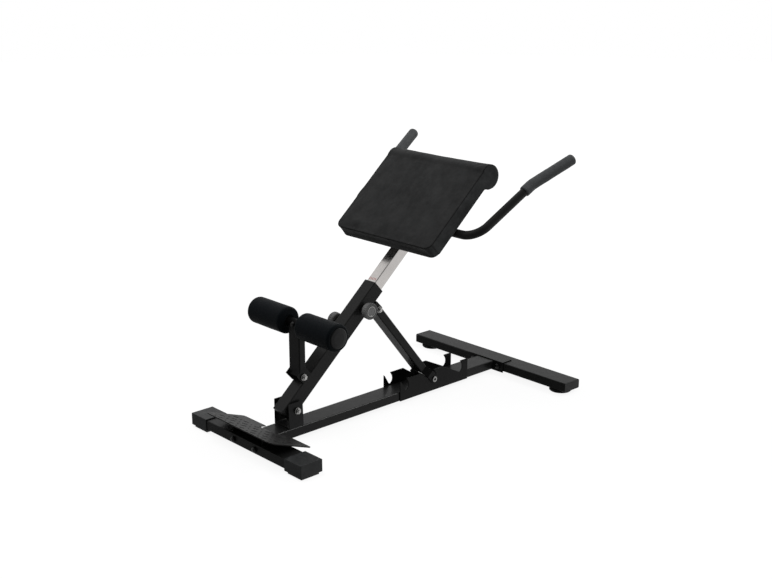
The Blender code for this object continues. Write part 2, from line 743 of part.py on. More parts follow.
def make_ladder(base):
    front = NOTCH_STATION - LADDER_FRONT
    rear = NOTCH_STATION + 2 * NOTCH_PITCH + LADDER_REAR
    top = LADDER_HEIGHT + BAR_BOTTOM
    outline = [(front, BAR_BOTTOM), (rear, BAR_BOTTOM), (rear, top)]
    for index in (2, 1, 0):
        outline += notch_outline(index)
    outline.append((front, top - HORN_DROP / 2))
    for label, side in SIDES:
        middle = side * LADDER_Y
        mesh = slab_mesh(outline, "xz", middle - LADDER_THICKNESS / 2, middle + LADDER_THICKNESS / 2)
        add_object(f"ladder_plate_{label}", mesh, base, PAINT)


def make_upright(hinge):
    size = (UPRIGHT_SIZE, UPRIGHT_SIZE)
    centre = (0, UPRIGHT_RISE)
    wall = UPRIGHT_WALL
    tail = -UPRIGHT_TAIL
    tube = box_tube("upright_tube", hinge, size, wall, UPRIGHT_BEND, "yz", tail, MOUTH_X, centre)
    cross_hole(tube, hinge, SLEEVE_RADIUS + GAP, 0, 0, UPRIGHT_SIZE)
    for x, side in ((PULL_PIN_X, -1), (CLAMP_X, 1)):
        outside = (x, side * UPRIGHT_SIZE, UPRIGHT_RISE)
        combine(tube, rod_mesh(PULL_PIN_RADIUS + GAP, outside, (x, 0, UPRIGHT_RISE)), hinge)
    tube_plug("upright_plug", hinge, size, wall, UPRIGHT_BEND, "yz", tail, -1, centre)
    make_mouth_liner(hinge, centre)


def make_mouth_liner(hinge, centre):
    """Square plastic guide between the upright's mouth and the pad post."""
    size = UPRIGHT_SIZE - 2 * (UPRIGHT_WALL + GAP)
    bore = PAD_POST_SIZE + 2 * GAP
    start = MOUTH_X - LINER_LENGTH
    end = MOUTH_X + LINER_LIP
    outside = rounded_rectangle(size, size, UPRIGHT_BEND, centre)
    liner = add_object("mouth_liner", slab_mesh(outside, "yz", start, end), hinge, MOULDED)
    passage = rounded_rectangle(bore, bore, PAD_POST_WALL + PAD_POST_BEND, centre)
    combine(liner, slab_mesh(passage, "yz", start - GAP, end + GAP), hinge)


def make_pivot_sleeve(hinge):
    half = PIVOT_BRACKET_WIDTH / 2 - PIVOT_BRACKET_WALL - GAP
    ring_sleeve("pivot_sleeve", hinge, SLEEVE_RADIUS, BOLT_RADIUS + GAP, -half, half, ZINC)


def ring_sleeve(name, parent, outer, inner, start, end, material, location=(0, 0, 0), side=1):
    """A sleeve along Y between two distances towards that side."""
    profile = [(inner, end), (outer, end), (outer, start), (inner, start)]
    return turned(name, profile, parent, material, location, outward(side), closed=True, steps=24)


def make_strut_bracket(hinge):
    """A channel under the upright whose ears carry the strut's upper bolt."""
    half = STRUT_WIDTH / 2 + GAP + STRUT_BRACKET_WALL
    top = UPRIGHT_REAR - GAP
    inner_top = top - STRUT_BRACKET_WALL
    nose = (STRUT_HINGE_X, -STRUT_HINGE_DROP)
    upper = nose[0] + STRUT_BRACKET_LEAD
    lower = upper - STRUT_BRACKET_LENGTH
    outline = [(upper, top), (lower, top)]
    outline += arc(nose, STRUT_BRACKET_NOSE, 200, 340, 8)
    bracket = add_object("strut_bracket", slab_mesh(outline, "xz", -half, half), hinge, PAINT)
    room = box_mesh((lower - STRUT_BRACKET_NOSE, -half + STRUT_BRACKET_WALL, -2 * STRUT_HINGE_DROP),
                    (upper + STRUT_BRACKET_NOSE, half - STRUT_BRACKET_WALL, inner_top))
    combine(bracket, room, hinge)
    cross_hole(bracket, hinge, BOLT_RADIUS + GAP, *nose, 2 * half)
    bolted_pair("strut", hinge, half, (nose[0], 0, nose[1]))


def make_strut(strut, length):
    """Strut tube, joggled ears and ladder pin, in the frame of the upper bolt with X towards the pin."""
    size = (STRUT_WIDTH, STRUT_DEPTH)
    end = length - STRUT_TUBE_END
    tube = box_tube("strut_tube", strut, size, STRUT_WALL, STRUT_BEND, "yz", -STRUT_HEAD, end)
    cross_hole(tube, strut, BOLT_RADIUS + GAP, 0, 0, STRUT_WIDTH)
    thick = STRUT_EAR_THICKNESS
    inner = STRUT_WIDTH / 2 - STRUT_WALL - GAP - thick
    bend_x = length - STRUT_EAR_BEND
    flat_x = length - STRUT_EAR_FLAT
    fold = thick * math.tan(math.atan2(EAR_INNER_Y - inner, flat_x - bend_x) / 2)
    top, tip = length - STRUT_EAR_TOP, length + STRUT_EAR_END
    outline = [(top, inner), (bend_x, inner), (flat_x, EAR_INNER_Y), (tip, EAR_INNER_Y)]
    outline += [(tip, EAR_INNER_Y + thick), (flat_x - fold, EAR_INNER_Y + thick)]
    outline += [(bend_x - fold, inner + thick), (top, inner + thick)]
    half = STRUT_EAR_WIDTH / 2
    tongue = STRUT_DEPTH / 2 - STRUT_WALL - STRUT_BEND
    for label, side in SIDES:
        points = [(x, side * y) for x, y in outline]
        ear = add_object(f"fork_ear_{label}", slab_mesh(points, "xy", -half, half), strut, PAINT)
        shape = [(top - half, tongue), (top - half, -tongue), (end + GAP, -tongue), (bend_x, -half)]
        shape += arc((length, 0), half, -90, 90, 10) + [(bend_x, half), (end + GAP, tongue)]
        span = sorted((side * inner / 2, side * 2 * EAR_INNER_Y))
        combine(ear, slab_mesh(shape, "xz", *span), strut, "INTERSECT")
        cross_hole(ear, strut, PIN_RADIUS + GAP, length, 0, 2 * EAR_INNER_Y)
    make_strut_pin(strut, length, EAR_INNER_Y + thick)


def make_strut_pin(strut, length, face):
    head = face + GAP + PIN_HEAD_HEIGHT
    tip = -face - GAP - PIN_HEAD_HEIGHT
    profile = [
        (0, head), (PIN_HEAD_RADIUS * 0.9, head), (PIN_HEAD_RADIUS, head - PIN_HEAD_HEIGHT / 4),
        (PIN_HEAD_RADIUS, face + GAP), (PIN_RADIUS, face + GAP), (PIN_RADIUS, tip), (0, tip),
    ]
    pin = turned("strut_pin", profile, strut, ZINC, (length, 0, 0), outward(-1), steps=24)
    socket = rod_mesh(PIN_SOCKET / math.sqrt(3), (length, -head - GAP, 0), (length, -face, 0), 6)
    combine(pin, socket, strut)
    ring_sleeve("strut_pin_ring", strut, PIN_HEAD_RADIUS, PIN_RADIUS + GAP, face + GAP, head,
                ZINC, (length, 0, 0))


def make_post_bracket(hinge):
    """A channel on the upright's front face whose ears carry the roller post's bolt."""
    half = POST_WIDTH / 2 + GAP + POST_BRACKET_WALL
    floor = UPRIGHT_FRONT + GAP
    start = POST_BOLT_X - POST_BRACKET_TAIL
    points = u_outline(half, POST_BRACKET_WALL, POST_BRACKET_HEIGHT, 0.001)
    outline = [(y, z + floor) for y, z in points]
    mesh = slab_mesh(outline, "yz", start, start + POST_BRACKET_LENGTH)
    bracket = add_object("post_bracket", mesh, hinge, PAINT)
    height = UPRIGHT_FRONT + POST_BOLT_RISE
    cross_hole(bracket, hinge, BOLT_RADIUS + GAP, POST_BOLT_X, height, 2 * half)
    bolted_pair("post", hinge, half, (POST_BOLT_X, 0, height))


def make_roller_post(post):
    """Upright post with two rounded lugs around its bolt and a cradle for the axle."""
    size = (POST_DEPTH, POST_WIDTH)
    radius = POST_DEPTH / 2
    item = box_tube("roller_post", post, size, POST_WALL, POST_BEND, "xy", -radius, POST_TOP)
    above = POST_TOP + radius
    lug = arc((0, 0), radius, 180, 360, 12) + [(radius, above), (-radius, above)]
    combine(item, slab_mesh(lug, "xz", -POST_WIDTH, POST_WIDTH), post, "INTERSECT")
    inner = POST_WIDTH / 2 - POST_WALL
    slot = box_mesh((-POST_DEPTH, -inner, -POST_DEPTH), (POST_DEPTH, inner, POST_SLOT))
    combine(item, slot, post)
    cross_hole(item, post, BOLT_RADIUS + GAP, 0, 0, POST_WIDTH)
    cross_hole(item, post, AXLE_RADIUS + GAP, 0, AXLE_HEIGHT, POST_WIDTH)


def make_axle(post):
    end = ROLLER_OUTER
    place = (0, 0, AXLE_HEIGHT)
    axle = ring_sleeve("roller_axle", post, AXLE_RADIUS, AXLE_RADIUS - AXLE_WALL, -end, end, PAINT, place)
    bolt_radius = FLANGE_BOLT_RADIUS
    combine(axle, rod_mesh(bolt_radius + GAP, (-2 * AXLE_RADIUS, 0, AXLE_HEIGHT), (0, 0, AXLE_HEIGHT)), post)
    start = AXLE_RADIUS + GAP
    profile = [
        (0, start + HEAD_HEIGHT), (WASHER_RADIUS * 0.6, start + HEAD_HEIGHT), (WASHER_RADIUS * 0.8, start),
        (bolt_radius, start), (bolt_radius, 0), (0, 0),
    ]
    turned("axle_bolt", profile, post, ZINC, place, (0, math.radians(-90), 0), steps=20)


def make_rollers(post):
    bore = AXLE_RADIUS + GAP
    edge = ROLLER_EDGE
    for label, side in SIDES:
        turn = outward(side)
        profile = [(bore, ROLLER_OUTER)]
        profile += arc((ROLLER_RADIUS - edge, ROLLER_OUTER - edge), edge, 90, 0, 4)
        profile += arc((ROLLER_RADIUS - edge, ROLLER_INNER + edge), edge, 0, -90, 4)
        profile += [(bore, ROLLER_INNER)]
        turned(f"roller_{label}", profile, post, FOAM, (0, 0, AXLE_HEIGHT), turn, closed=True)
        face = ROLLER_OUTER + GAP
        plug = AXLE_RADIUS - AXLE_WALL - GAP
        rows = ((0, 1), (0.6, 0.9), (0.9, 0.6), (1, 0.3), (1, 0))
        cap = [(ROLLER_CAP_RADIUS * share, face + ROLLER_CAP_HEIGHT * rise) for share, rise in rows]
        cap += [(plug, face), (plug, face - PLUG_DEPTH), (0, face - PLUG_DEPTH)]
        turned(f"roller_cap_{label}", cap, post, MOULDED, (0, 0, AXLE_HEIGHT), turn)


def knob_profile():
    """Outer side of a knob from its face to its bore, measured from the frame's middle."""
    face = KNOB_START_Y + KNOB_LENGTH
    sink = face - KNOB_FACE_DEPTH
    bore = PULL_PIN_RADIUS + GAP
    floor = KNOB_START_Y + KNOB_BORE_DEPTH + GAP
    edge = KNOB_EDGE
    profile = [(0, sink), (KNOB_FACE_RADIUS - KNOB_FACE_DEPTH, sink), (KNOB_FACE_RADIUS, face)]
    profile += arc((KNOB_RADIUS - edge, face - edge), edge, 90, 0, 4)
    profile += arc((KNOB_RADIUS - edge, KNOB_START_Y + edge), edge, 0, -60, 3)
    profile += [(KNOB_RADIUS - edge, KNOB_START_Y), (bore, KNOB_START_Y), (bore, floor), (0, floor)]
    return profile


def make_knobs(pull, clamp):
    """Boss, pin and knob on each side. The near pin pulls out, the far screw turns."""
    tip = PAD_POST_SIZE / 2 + 2 * GAP
    for label, side, frame in (("pull", -1, pull), ("clamp", 1, clamp)):
        ring_sleeve(f"{label}_boss", frame.parent, BOSS_RADIUS, PULL_PIN_RADIUS + GAP,
                    UPRIGHT_SIZE / 2 + GAP, BOSS_END_Y, PAINT, frame.location, side)
        turn = outward(side)
        end = KNOB_START_Y + KNOB_BORE_DEPTH
        pin = [(0, end), (PULL_PIN_RADIUS, end), (PULL_PIN_RADIUS, tip + PIN_CHAMFER),
               (PULL_PIN_RADIUS - PIN_CHAMFER, tip), (0, tip)]
        shaft = "pull_pin" if label == "pull" else "clamp_screw"
        turned(shaft, pin, frame, ZINC, rotation=turn, steps=20)
        turned(f"{label}_knob", knob_profile(), frame, KNOB, rotation=turn, steps=24)


def make_pad_post(slide):
    size = (PAD_POST_SIZE, PAD_POST_SIZE)
    post = box_tube("pad_post", slide, size, PAD_POST_WALL, PAD_POST_BEND, "yz", PAD_POST_START, PAD_POST_END)
    post.data.materials[0] = CHROME
    for index in range(HOLE_COUNT):
        x = PULL_PIN_X - index * HOLE_PITCH
        combine(post, rod_mesh(HOLE_RADIUS, (x, -PAD_POST_SIZE, 0), (x, 0, 0), 16), slide)


def make_pad_bracket(slide):
    """Two cheeks that hold the post and the handle bar, with a plate before and after the bar."""
    top = BOARD_BACK - GAP
    under = top - PAD_PLATE_THICKNESS
    start = PAD_PLATE_START
    end = start + PAD_PLATE_LENGTH
    half = PAD_PLATE_WIDTH / 2
    plate = box_mesh((start, -half, under), (end, half, top))
    bracket = add_object("pad_bracket", plate, slide, PAINT)
    inner = PAD_POST_SIZE / 2 + GAP
    for _, side in SIDES:
        low, high = sorted((side * inner, side * (inner + PAD_CHEEK_THICKNESS)))
        combine(bracket, box_mesh((start, low, -PAD_CHEEK_DROP), (end, high, under + GAP)), slide, "UNION")
    room = HANDLE_RADIUS + GAP
    cross_hole(bracket, slide, room, HANDLE_X, HANDLE_Z, half)
    slot = box_mesh((HANDLE_X - room, -half - GAP, HANDLE_Z), (HANDLE_X + room, half + GAP, top + GAP))
    combine(bracket, slot, slide)


def board_outline(extra=0.0):
    start = PAD_START + BOARD_INSET - extra
    length = BOARD_END + extra - start
    width = PAD_WIDTH - 2 * (BOARD_INSET - extra)
    return rounded_rectangle(length, width, BOARD_CORNER, (start + length / 2, 0), 4)


def gather(share):
    """Moves the rows of a grid from -1 to 1 towards its two ends."""
    return math.copysign(1 - (1 - abs(share)) ** CAGE_GATHER, share)


def cushion_point(along, across, depth):
    """Place on the cushion for a point of a cube from -1 to 1."""
    half = PAD_WIDTH / 2
    width = gather(across)
    y = width * half * (1 - PAD_DRAW / half * depth ** 2)
    past = max(0.0, abs(width * half) - (half - PAD_CORNER))
    start = PAD_START + PAD_CORNER - math.sqrt(max(0.0, PAD_CORNER ** 2 - past ** 2))
    if along > 1 - 0.5 / CAGE_CUTS:
        step = ROLL_SWEEP / (CAGE_CUTS + 1)
        # Subdividing draws a ring of points in, by the cubic rule 1-6-1 over 8.
        radius = PAD_ROLL_RADIUS * 8 / (6 + 2 * math.cos(math.radians(step)))
        turn = math.radians(ROLL_END + ROLL_SWEEP * (depth + 1) / 2)
        middle = PAD_FACE + PAD_ROLL_RISE - PAD_ROLL_RADIUS
        return Vector((PAD_ROLL_X + radius * math.cos(turn), y, middle + radius * math.sin(turn)))
    x = start + (gather(along) + 1) / 2 * (PAD_ROLL_X - start)
    back = BOARD_BACK - GAP
    face = PAD_FACE - PAD_CROWN * width ** 2
    return Vector((x, y, back + (gather(depth) + 1) / 2 * (face - back)))


def make_cushion(slide):
    """Cushion with a crowned face and a round roll along its upper edge, wrapped over the board."""
    shape = bmesh.new()
    bmesh.ops.create_cube(shape, size=2)
    bmesh.ops.subdivide_edges(shape, edges=shape.edges, cuts=CAGE_CUTS, use_grid_fill=True)
    for vertex in shape.verts:
        vertex.co = cushion_point(*vertex.co)
    bmesh.ops.recalc_face_normals(shape, faces=shape.faces)
    mesh = bpy.data.meshes.new("cushion")
    shape.to_mesh(mesh)
    shape.free()
    cushion = add_object("pad_cushion", mesh, slide, LEATHER, smooth=60)
    soft = cushion.modifiers.new("soft", "SUBSURF")
    soft.levels = 1
    soft.render_levels = 1
    pocket = slab_mesh(board_outline(GAP), "xy", 0, BOARD_BACK + BOARD_THICKNESS + GAP)
    combine(cushion, pocket, slide)


def make_board(slide):
    mesh = slab_mesh(board_outline(), "xy", BOARD_BACK, BOARD_BACK + BOARD_THICKNESS)
    add_object("pad_board", mesh, slide, WOOD)


def bend(before, corner, after, radius, count=6):
    """Points of a circular bend in place of a sharp corner."""
    before, corner, after = Vector(before), Vector(corner), Vector(after)
    back = (before - corner).normalized()
    on = (after - corner).normalized()
    half = back.angle(on) / 2
    centre = corner + (back + on).normalized() * radius / math.sin(half)
    start = corner + back * radius / math.tan(half)
    end = corner + on * radius / math.tan(half)
    first, last = start - centre, end - centre
    points = []
    for i in range(count + 1):
        share = i / count
        mixed = (first * (1 - share) + last * share).normalized() * radius
        points.append(centre + mixed)
    return points


def handle_side(side):
    """Path of one half of the handle bar from its shoulder bend to its tip."""
    middle = (HANDLE_X, 0, HANDLE_Z)
    shoulder = (HANDLE_X, side * HANDLE_HALF_SPAN, HANDLE_Z)
    elbow = (HANDLE_ELBOW[0], side * HANDLE_ELBOW[1], HANDLE_ELBOW[2])
    tip = (HANDLE_TIP[0], side * HANDLE_TIP[1], HANDLE_TIP[2])
    lower = bend(middle, shoulder, elbow, HANDLE_BEND)
    upper = bend(shoulder, elbow, tip, ELBOW_BEND)
    return lower, upper, Vector(tip)


def make_handle(slide):
    near_lower, near_upper, near_tip = handle_side(-1)
    far_lower, far_upper, far_tip = handle_side(1)
    path = [near_tip] + near_upper[::-1] + near_lower[::-1] + far_lower + far_upper + [far_tip]
    bar = add_object("handle_bar", pipe_mesh(path, HANDLE_RADIUS), slide, PAINT, smooth=50)
    near_out = (near_tip - near_upper[-1]).normalized() * GAP
    far_out = (far_tip - far_upper[-1]).normalized() * GAP
    inner = [near_tip + near_out] + path[1:-1] + [far_tip + far_out]
    combine(bar, pipe_mesh(inner, HANDLE_RADIUS - HANDLE_WALL), slide)
    make_grip(slide, "near", near_lower[-1], near_upper, near_tip)
    make_grip(slide, "far", far_lower[-1], far_upper, far_tip)


def make_grip(slide, label, arm, upper, tip):
    """Foam sleeve over the elbow and the end of one arm, with its end cap."""
    lead = (arm - upper[0]).normalized()
    out = (tip - upper[-1]).normalized()
    start = upper[0] + lead * GRIP_LEAD
    sleeve = pipe_mesh([start] + upper + [tip], GRIP_RADIUS, GRIP_SIDES)
    grip = add_object(f"grip_{label}", sleeve, slide, FOAM, smooth=50)
    bore_path = [start + lead * 3 * GAP] + upper + [tip + out * 3 * GAP]
    combine(grip, pipe_mesh(bore_path, around(HANDLE_RADIUS, GRIP_SIDES), GRIP_SIDES), slide)
    dome = [(0, GRIP_CAP_HEIGHT)]
    dome += [(GRIP_RADIUS * math.sin(turn), GRIP_CAP_HEIGHT * math.cos(turn))
             for turn in (math.pi * step / 12 for step in range(1, 7))]
    dome.append((0, 0))
    aim = out.to_track_quat("Z", "Y").to_euler()
    turned(f"grip_cap_{label}", dome, slide, FOAM, tip + out * GAP, aim, steps=24)


def strut_frame(hinge):
    """Place of the strut's upper bolt and its length and tilt down to the ladder pin."""
    tilt = UPRIGHT_TILT
    bolt = Vector((STRUT_HINGE_X, 0, -STRUT_HINGE_DROP))
    world = Vector((
        PIVOT_STATION + bolt.x * math.cos(tilt) - bolt.z * math.sin(tilt), 0,
        PIVOT_HEIGHT + bolt.x * math.sin(tilt) + bolt.z * math.cos(tilt)))
    run = Vector((PIN_STATION, 0, NOTCH_HEIGHT)) - world
    lift = math.atan2(run.z, run.x)
    return make_empty("strut_hinge", hinge, bolt, lift - tilt), run.length


def build():
    base = make_empty("base_frame", None, (-MIDDLE_STATION, 0, 0))
    hinge = make_empty("upright_hinge", base, (PIVOT_STATION, 0, PIVOT_HEIGHT), UPRIGHT_TILT)
    strut, strut_length = strut_frame(hinge)
    post_height = UPRIGHT_FRONT + POST_BOLT_RISE
    post = make_empty("post_hinge", hinge, (POST_BOLT_X, 0, post_height), -UPRIGHT_TILT)
    pull = make_empty("pull_axis", hinge, (PULL_PIN_X, 0, UPRIGHT_RISE))
    clamp = make_empty("clamp_axis", hinge, (CLAMP_X, 0, UPRIGHT_RISE))
    slide = make_empty("pad_slide", hinge, (0, 0, UPRIGHT_RISE))
    make_floor_bars(base)
    make_front_caps(base)
    make_rear_ends(base)
    make_flanges(base)
    make_flange_bolts(base)
    make_foot_plate(base)
    make_plate_ribs(base)
    make_beam(base)
    make_pivot_bracket(base)
    make_ladder(base)
    make_upright(hinge)
    make_pivot_sleeve(hinge)
    make_strut_bracket(hinge)
    make_post_bracket(hinge)
    make_strut(strut, strut_length)
    make_roller_post(post)
    make_axle(post)
    make_rollers(post)
    make_knobs(pull, clamp)
    make_pad_post(slide)
    make_pad_bracket(slide)
    make_board(slide)
    make_cushion(slide)
    make_handle(slide)
    bpy.context.view_layer.update()


build()
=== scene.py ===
"""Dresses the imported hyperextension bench: soft parts, finishes, light and camera."""

import math

import bmesh
import bpy
from mathutils import Matrix, Vector, noise
from mathutils.bvhtree import BVHTree
from mathutils.kdtree import KDTree


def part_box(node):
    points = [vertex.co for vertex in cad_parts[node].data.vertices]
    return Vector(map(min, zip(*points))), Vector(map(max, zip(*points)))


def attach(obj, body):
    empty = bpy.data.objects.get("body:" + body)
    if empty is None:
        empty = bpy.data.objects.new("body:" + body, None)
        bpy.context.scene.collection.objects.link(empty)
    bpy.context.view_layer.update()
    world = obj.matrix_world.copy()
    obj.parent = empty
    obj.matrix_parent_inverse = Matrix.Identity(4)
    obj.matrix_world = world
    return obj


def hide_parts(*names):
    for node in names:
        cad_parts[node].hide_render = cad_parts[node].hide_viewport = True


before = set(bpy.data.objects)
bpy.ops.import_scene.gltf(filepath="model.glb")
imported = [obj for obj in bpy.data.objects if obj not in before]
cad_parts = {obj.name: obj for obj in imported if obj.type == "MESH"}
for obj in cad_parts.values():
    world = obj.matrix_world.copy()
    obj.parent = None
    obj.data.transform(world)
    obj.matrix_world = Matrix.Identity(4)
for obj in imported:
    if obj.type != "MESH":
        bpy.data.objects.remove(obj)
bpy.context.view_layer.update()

# Sizes and places, in metres. Most are the solids' own.
NEAR, FAR = -1, 1
SIDES = (("near", NEAR), ("far", FAR))
SAME_PLACE = 1e-6

# The slide's frame has X up along the post and Z out of the pad's face.
TILT = math.radians(41.4)
SLIDE = Matrix.Translation((-0.389659, 0, 0.105076)) @ Matrix.Rotation(-TILT, 4, "Y")

PAD_START = 0.597
PAD_HALF = 0.221
PAD_FACE = 0.0994
PAD_BACK = 0.0494
PAD_CORNER = 0.026
PAD_RIM, RIM_TURN = 0.0030, math.radians(50)
PAD_SLACK = 0.0006
PAD_LIP = ((0.894, 0.0350), (0.8885, 0.0440), (0.880, PAD_BACK))
ROLL_X, ROLL_Z, ROLL_RADIUS = 0.9263, 0.0612, 0.041
ROLL_UNDER, ROLL_STEPS = -122, 30
BOARD_START, BOARD_END, BOARD_HALF, BOARD_CORNER = 0.605, 0.876, 0.213, 0.030
BOARD_TOP = 0.0617
BOARD_ROOM = 0.0006

PAD_VOXEL, CLOTH_VOXEL = 0.0026, 0.0045
CLOTH_FRAMES = 20
CLOTH_CAP = 0.004
HELD_HEIGHT, HELD_END = PAD_BACK + 0.006, 0.90
SWELL_REACH, SWELL_SHAPE = 0.035, 0.7
SIDE_SWELL = 0.0012
SEAM_INSET, SEAM_STEP, SEAM_RADIUS = 0.0012, 0.0015, 0.0010
SEAM_TURNS, SEAM_MEETS_FACE, SEAM_FINE = range(-100, 112, 3), 0.907, 0.005
GROOVE_REACH, GROOVE_DEPTH, GROOVE_WIDTH = 0.006, 0.0015, 0.0019
WRINKLES = ((24, 0.0003), (70, 0.0001))
STITCH_START, STITCH_INSET, STITCH_STEP = 0.903, 0.0058, 0.0009
STITCH_HEIGHTS = (-0.0003, 0.0001, 0.0001, -0.0003)
STITCH_RADII = (0.0002, 0.0003, 0.0003, 0.0002)

ROLLER_CENTRE = Vector((-0.349615, 0, 0.362705))
ROLLER_RADIUS, ROLLER_INNER, ROLLER_OUTER = 0.0426, 0.0367, 0.1955
ROLLER_BORE = 0.0139
ROLLER_RIM = 0.0085
ROLLER_CAP_RADIUS = 0.032
ROLLER_WAVES = ((18, 0.0004), (90, 0.00008))

# The far shoulder is drawn in, so that the pad hides it from the camera.
HANDLE_RADIUS, HANDLE_SLACK = 0.014, 0.00005
HANDLE_MIDDLE = Vector((0.7145, 0, 0.0343))
HANDLE_HALF_SPAN = {NEAR: 0.293, FAR: 0.286}
HANDLE_ELBOW = Vector((0.9755, 0.3178, -0.0115))
HANDLE_TIP = Vector((1.1244, 0.3613, -0.0517))
SHOULDER_BEND = {NEAR: 0.062, FAR: 0.086}
ELBOW_BEND = 0.070
GRIP_RADIUS, GRIP_LEAD, GRIP_CAP = 0.018, 0.030, 0.0108
GRIP_RIM = 0.0035
GRIP_WOBBLE = 0.0003

PULL_AXIS = Vector((-0.099666, 0, 0.360739))
CLAMP_AXIS = Vector((-0.150223, 0, 0.316167))
KNOB_START, KNOB_LENGTH, KNOB_RADIUS = 0.0426, 0.021, 0.027
KNOB_BORE, KNOB_BORE_DEPTH = 0.0053, 0.0103
KNOB_END = KNOB_START + KNOB_LENGTH
KNOB_BACK_RADIUS, KNOB_RIM = 0.0256, 0.0038
KNOB_RIDGES, KNOB_RIDGE_DEPTH = 24, 0.0010

# Turned details as (radius, distance out from the end that carries them).
KNOB_RING = ((0.0172, -0.0011), (0.0170, -0.0001), (0.0164, 0.0003), (0.0150, 0.0003), (0.0142, -0.0001),
             (0.0140, -0.0011))
KNOB_DISC = ((0.0138, -0.0009), (0.0136, -0.0003), (0.0125, 0), (0.008, 0.0003), (0.0001, 0.0004))
# The pin's end dish, coloured near black as painted shade for its bore.
PIN_BORE_SHADE = ((0.0044, -0.0004), (0.0044, 0.0001), (0.0040, 0.0002), (0.0020, 0.0001), (0.0001, 0))

TICK_PLACES = (-0.0135, -0.0070, -0.0005, 0.0060, 0.0125)
TICK_START, TICK_RUN = 0.4840, Vector((0.0090, 0.0022, 0))
TICK_HALF, TICK_HEIGHT = 0.0011, 0.00008
POST_FACE = 0.02

# Rounded edges of the solids.
EDGE = 0.0007
WIDE_EDGES = {
    "front_cap_near": 0.0018, "front_cap_far": 0.0018, "rear_plug_near": 0.0015, "rear_plug_far": 0.0015,
    "upright_plug": 0.0012, "foot_plate": 0.0003,
}
WELD_REACH = 0.00002
FLAT_TURN = math.radians(0.5)
EDGE_TURN = math.radians(38)

# Light. A gradient is a direction, and its two ends as (how far along the direction, level).
SKY_LEVEL = 0.33
SOFT_LIGHT = ((0.160, -0.330, 0.560), (-0.60, 0.20 * SKY_LEVEL), (0.80, 1.6 * SKY_LEVEL))
BRIGHT_BEHIND = ((0.64, 0.10, 0.45), (-0.53, 0.15), (0.27, 0.95))
BRIGHT_BELOW = ((0, 0, -1), (0.35, 0), (0.60, 0.34))
DARK_FLAG = ((-0.24, -0.64, 0.73), (0.42, 1), (0.85, 0.12))
FLOOR_RADIUS = 12
FLOOR_GLOW, FLOOR_SHADE, FLOOR_COLOUR = 0.90, 0.14, 0.6
FLOOR_FADE_START, FLOOR_FADE_END = 0.9, 2.6
LAMP_TARGET = Vector((0, 0, 0.3))

# Camera, fitted to the photograph.
CAMERA_PLACE = (-2.50818, -2.7358, 1.4973)
CAMERA_TURN, CAMERA_RISE = math.radians(-42.7469), math.radians(16.4723)
CAMERA_LENS, CAMERA_SENSOR, CAMERA_REACH = 56.083, 36, 60


# Materials

class Finish:
    """A Principled material with a short chain of procedural nodes."""

    def __init__(self, name, colour, roughness, metallic=0.0, **sockets):
        self.material = bpy.data.materials.new(name)
        self.material.use_nodes = True
        self.nodes = self.material.node_tree.nodes
        self.links = self.material.node_tree.links
        self.shader = self.nodes["Principled BSDF"]
        self.place = self.nodes.new("ShaderNodeTexCoord").outputs["Object"]
        self.height = None
        self.set("Base Color", (*colour, 1))
        self.set("Roughness", roughness)
        self.set("Metallic", metallic)
        for socket, value in sockets.items():
            self.set(socket.replace("_", " "), value)

    def set(self, socket, value):
        """Sets a socket of the shader."""
        self.shader.inputs[socket].default_value = value

    def noise(self, scale, detail=3.0, roughness=0.55, stretch=None):
        """Noise over the object. stretch scales its three axes."""
        node = self.nodes.new("ShaderNodeTexNoise")
        node.inputs["Scale"].default_value = scale
        node.inputs["Detail"].default_value = detail
        node.inputs["Roughness"].default_value = roughness
        place = self.place
        if stretch:
            mapping = self.nodes.new("ShaderNodeMapping")
            mapping.inputs["Scale"].default_value = stretch
            self.links.new(place, mapping.inputs["Vector"])
            place = mapping.outputs["Vector"]
        self.links.new(place, node.inputs["Vector"])
        return node.outputs["Fac"]

    def cells(self, scale):
        """Small cells over the object."""
        node = self.nodes.new("ShaderNodeTexVoronoi")
        node.inputs["Scale"].default_value = scale
        self.links.new(self.place, node.inputs["Vector"])
        return node.outputs["Distance"]

    def colours(self, source, *stops):
        """Base colour from a ramp of (position, colour) over a pattern."""
        ramp = self.nodes.new("ShaderNodeValToRGB")
        elements = ramp.color_ramp.elements
        while len(elements) < len(stops):
            elements.new(0.5)
        for element, (position, colour) in zip(elements, stops):
            element.position = position
            element.color = (*colour, 1)
        self.links.new(source, ramp.inputs["Fac"])
        self.links.new(ramp.outputs["Color"], self.shader.inputs["Base Color"])
        return self

    def gloss(self, source, low, high):
        """Roughness that varies with a pattern."""
        spread = self.nodes.new("ShaderNodeMapRange")
        spread.inputs["From Min"].default_value = 0.3
        spread.inputs["From Max"].default_value = 0.7
        spread.inputs["To Min"].default_value = low
        spread.inputs["To Max"].default_value = high
        self.links.new(source, spread.inputs["Value"])
        self.links.new(spread.outputs["Result"], self.shader.inputs["Roughness"])
        return self

    def bump(self, source, depth, strength=1.0):
        """Raises the surface by a pattern, on top of any bump before it."""
        node = self.nodes.new("ShaderNodeBump")
        node.inputs["Strength"].default_value = strength
        node.inputs["Distance"].default_value = depth
        self.links.new(source, node.inputs["Height"])
        if self.height:
            self.links.new(self.height, node.inputs["Normal"])
        self.height = node.outputs["Normal"]
        self.links.new(self.height, self.shader.inputs["Normal"])
        return self


def painted(name, dark, light, low=0.40, high=0.47, level=0.08, coat=0.12):
    """Satin powder coat with faint clouding. A coat gives it a thin glossy skin."""
    finish = Finish(name, light, low, Specular_IOR_Level=level, Coat_Weight=coat, Coat_Roughness=0.12)
    finish.colours(finish.noise(scale=22, detail=4), (0.35, dark), (0.65, light))
    finish.gloss(finish.noise(scale=60, detail=5, roughness=0.65), low, high)
    return finish.bump(finish.noise(scale=700, detail=2), depth=0.00002, strength=0.25).material


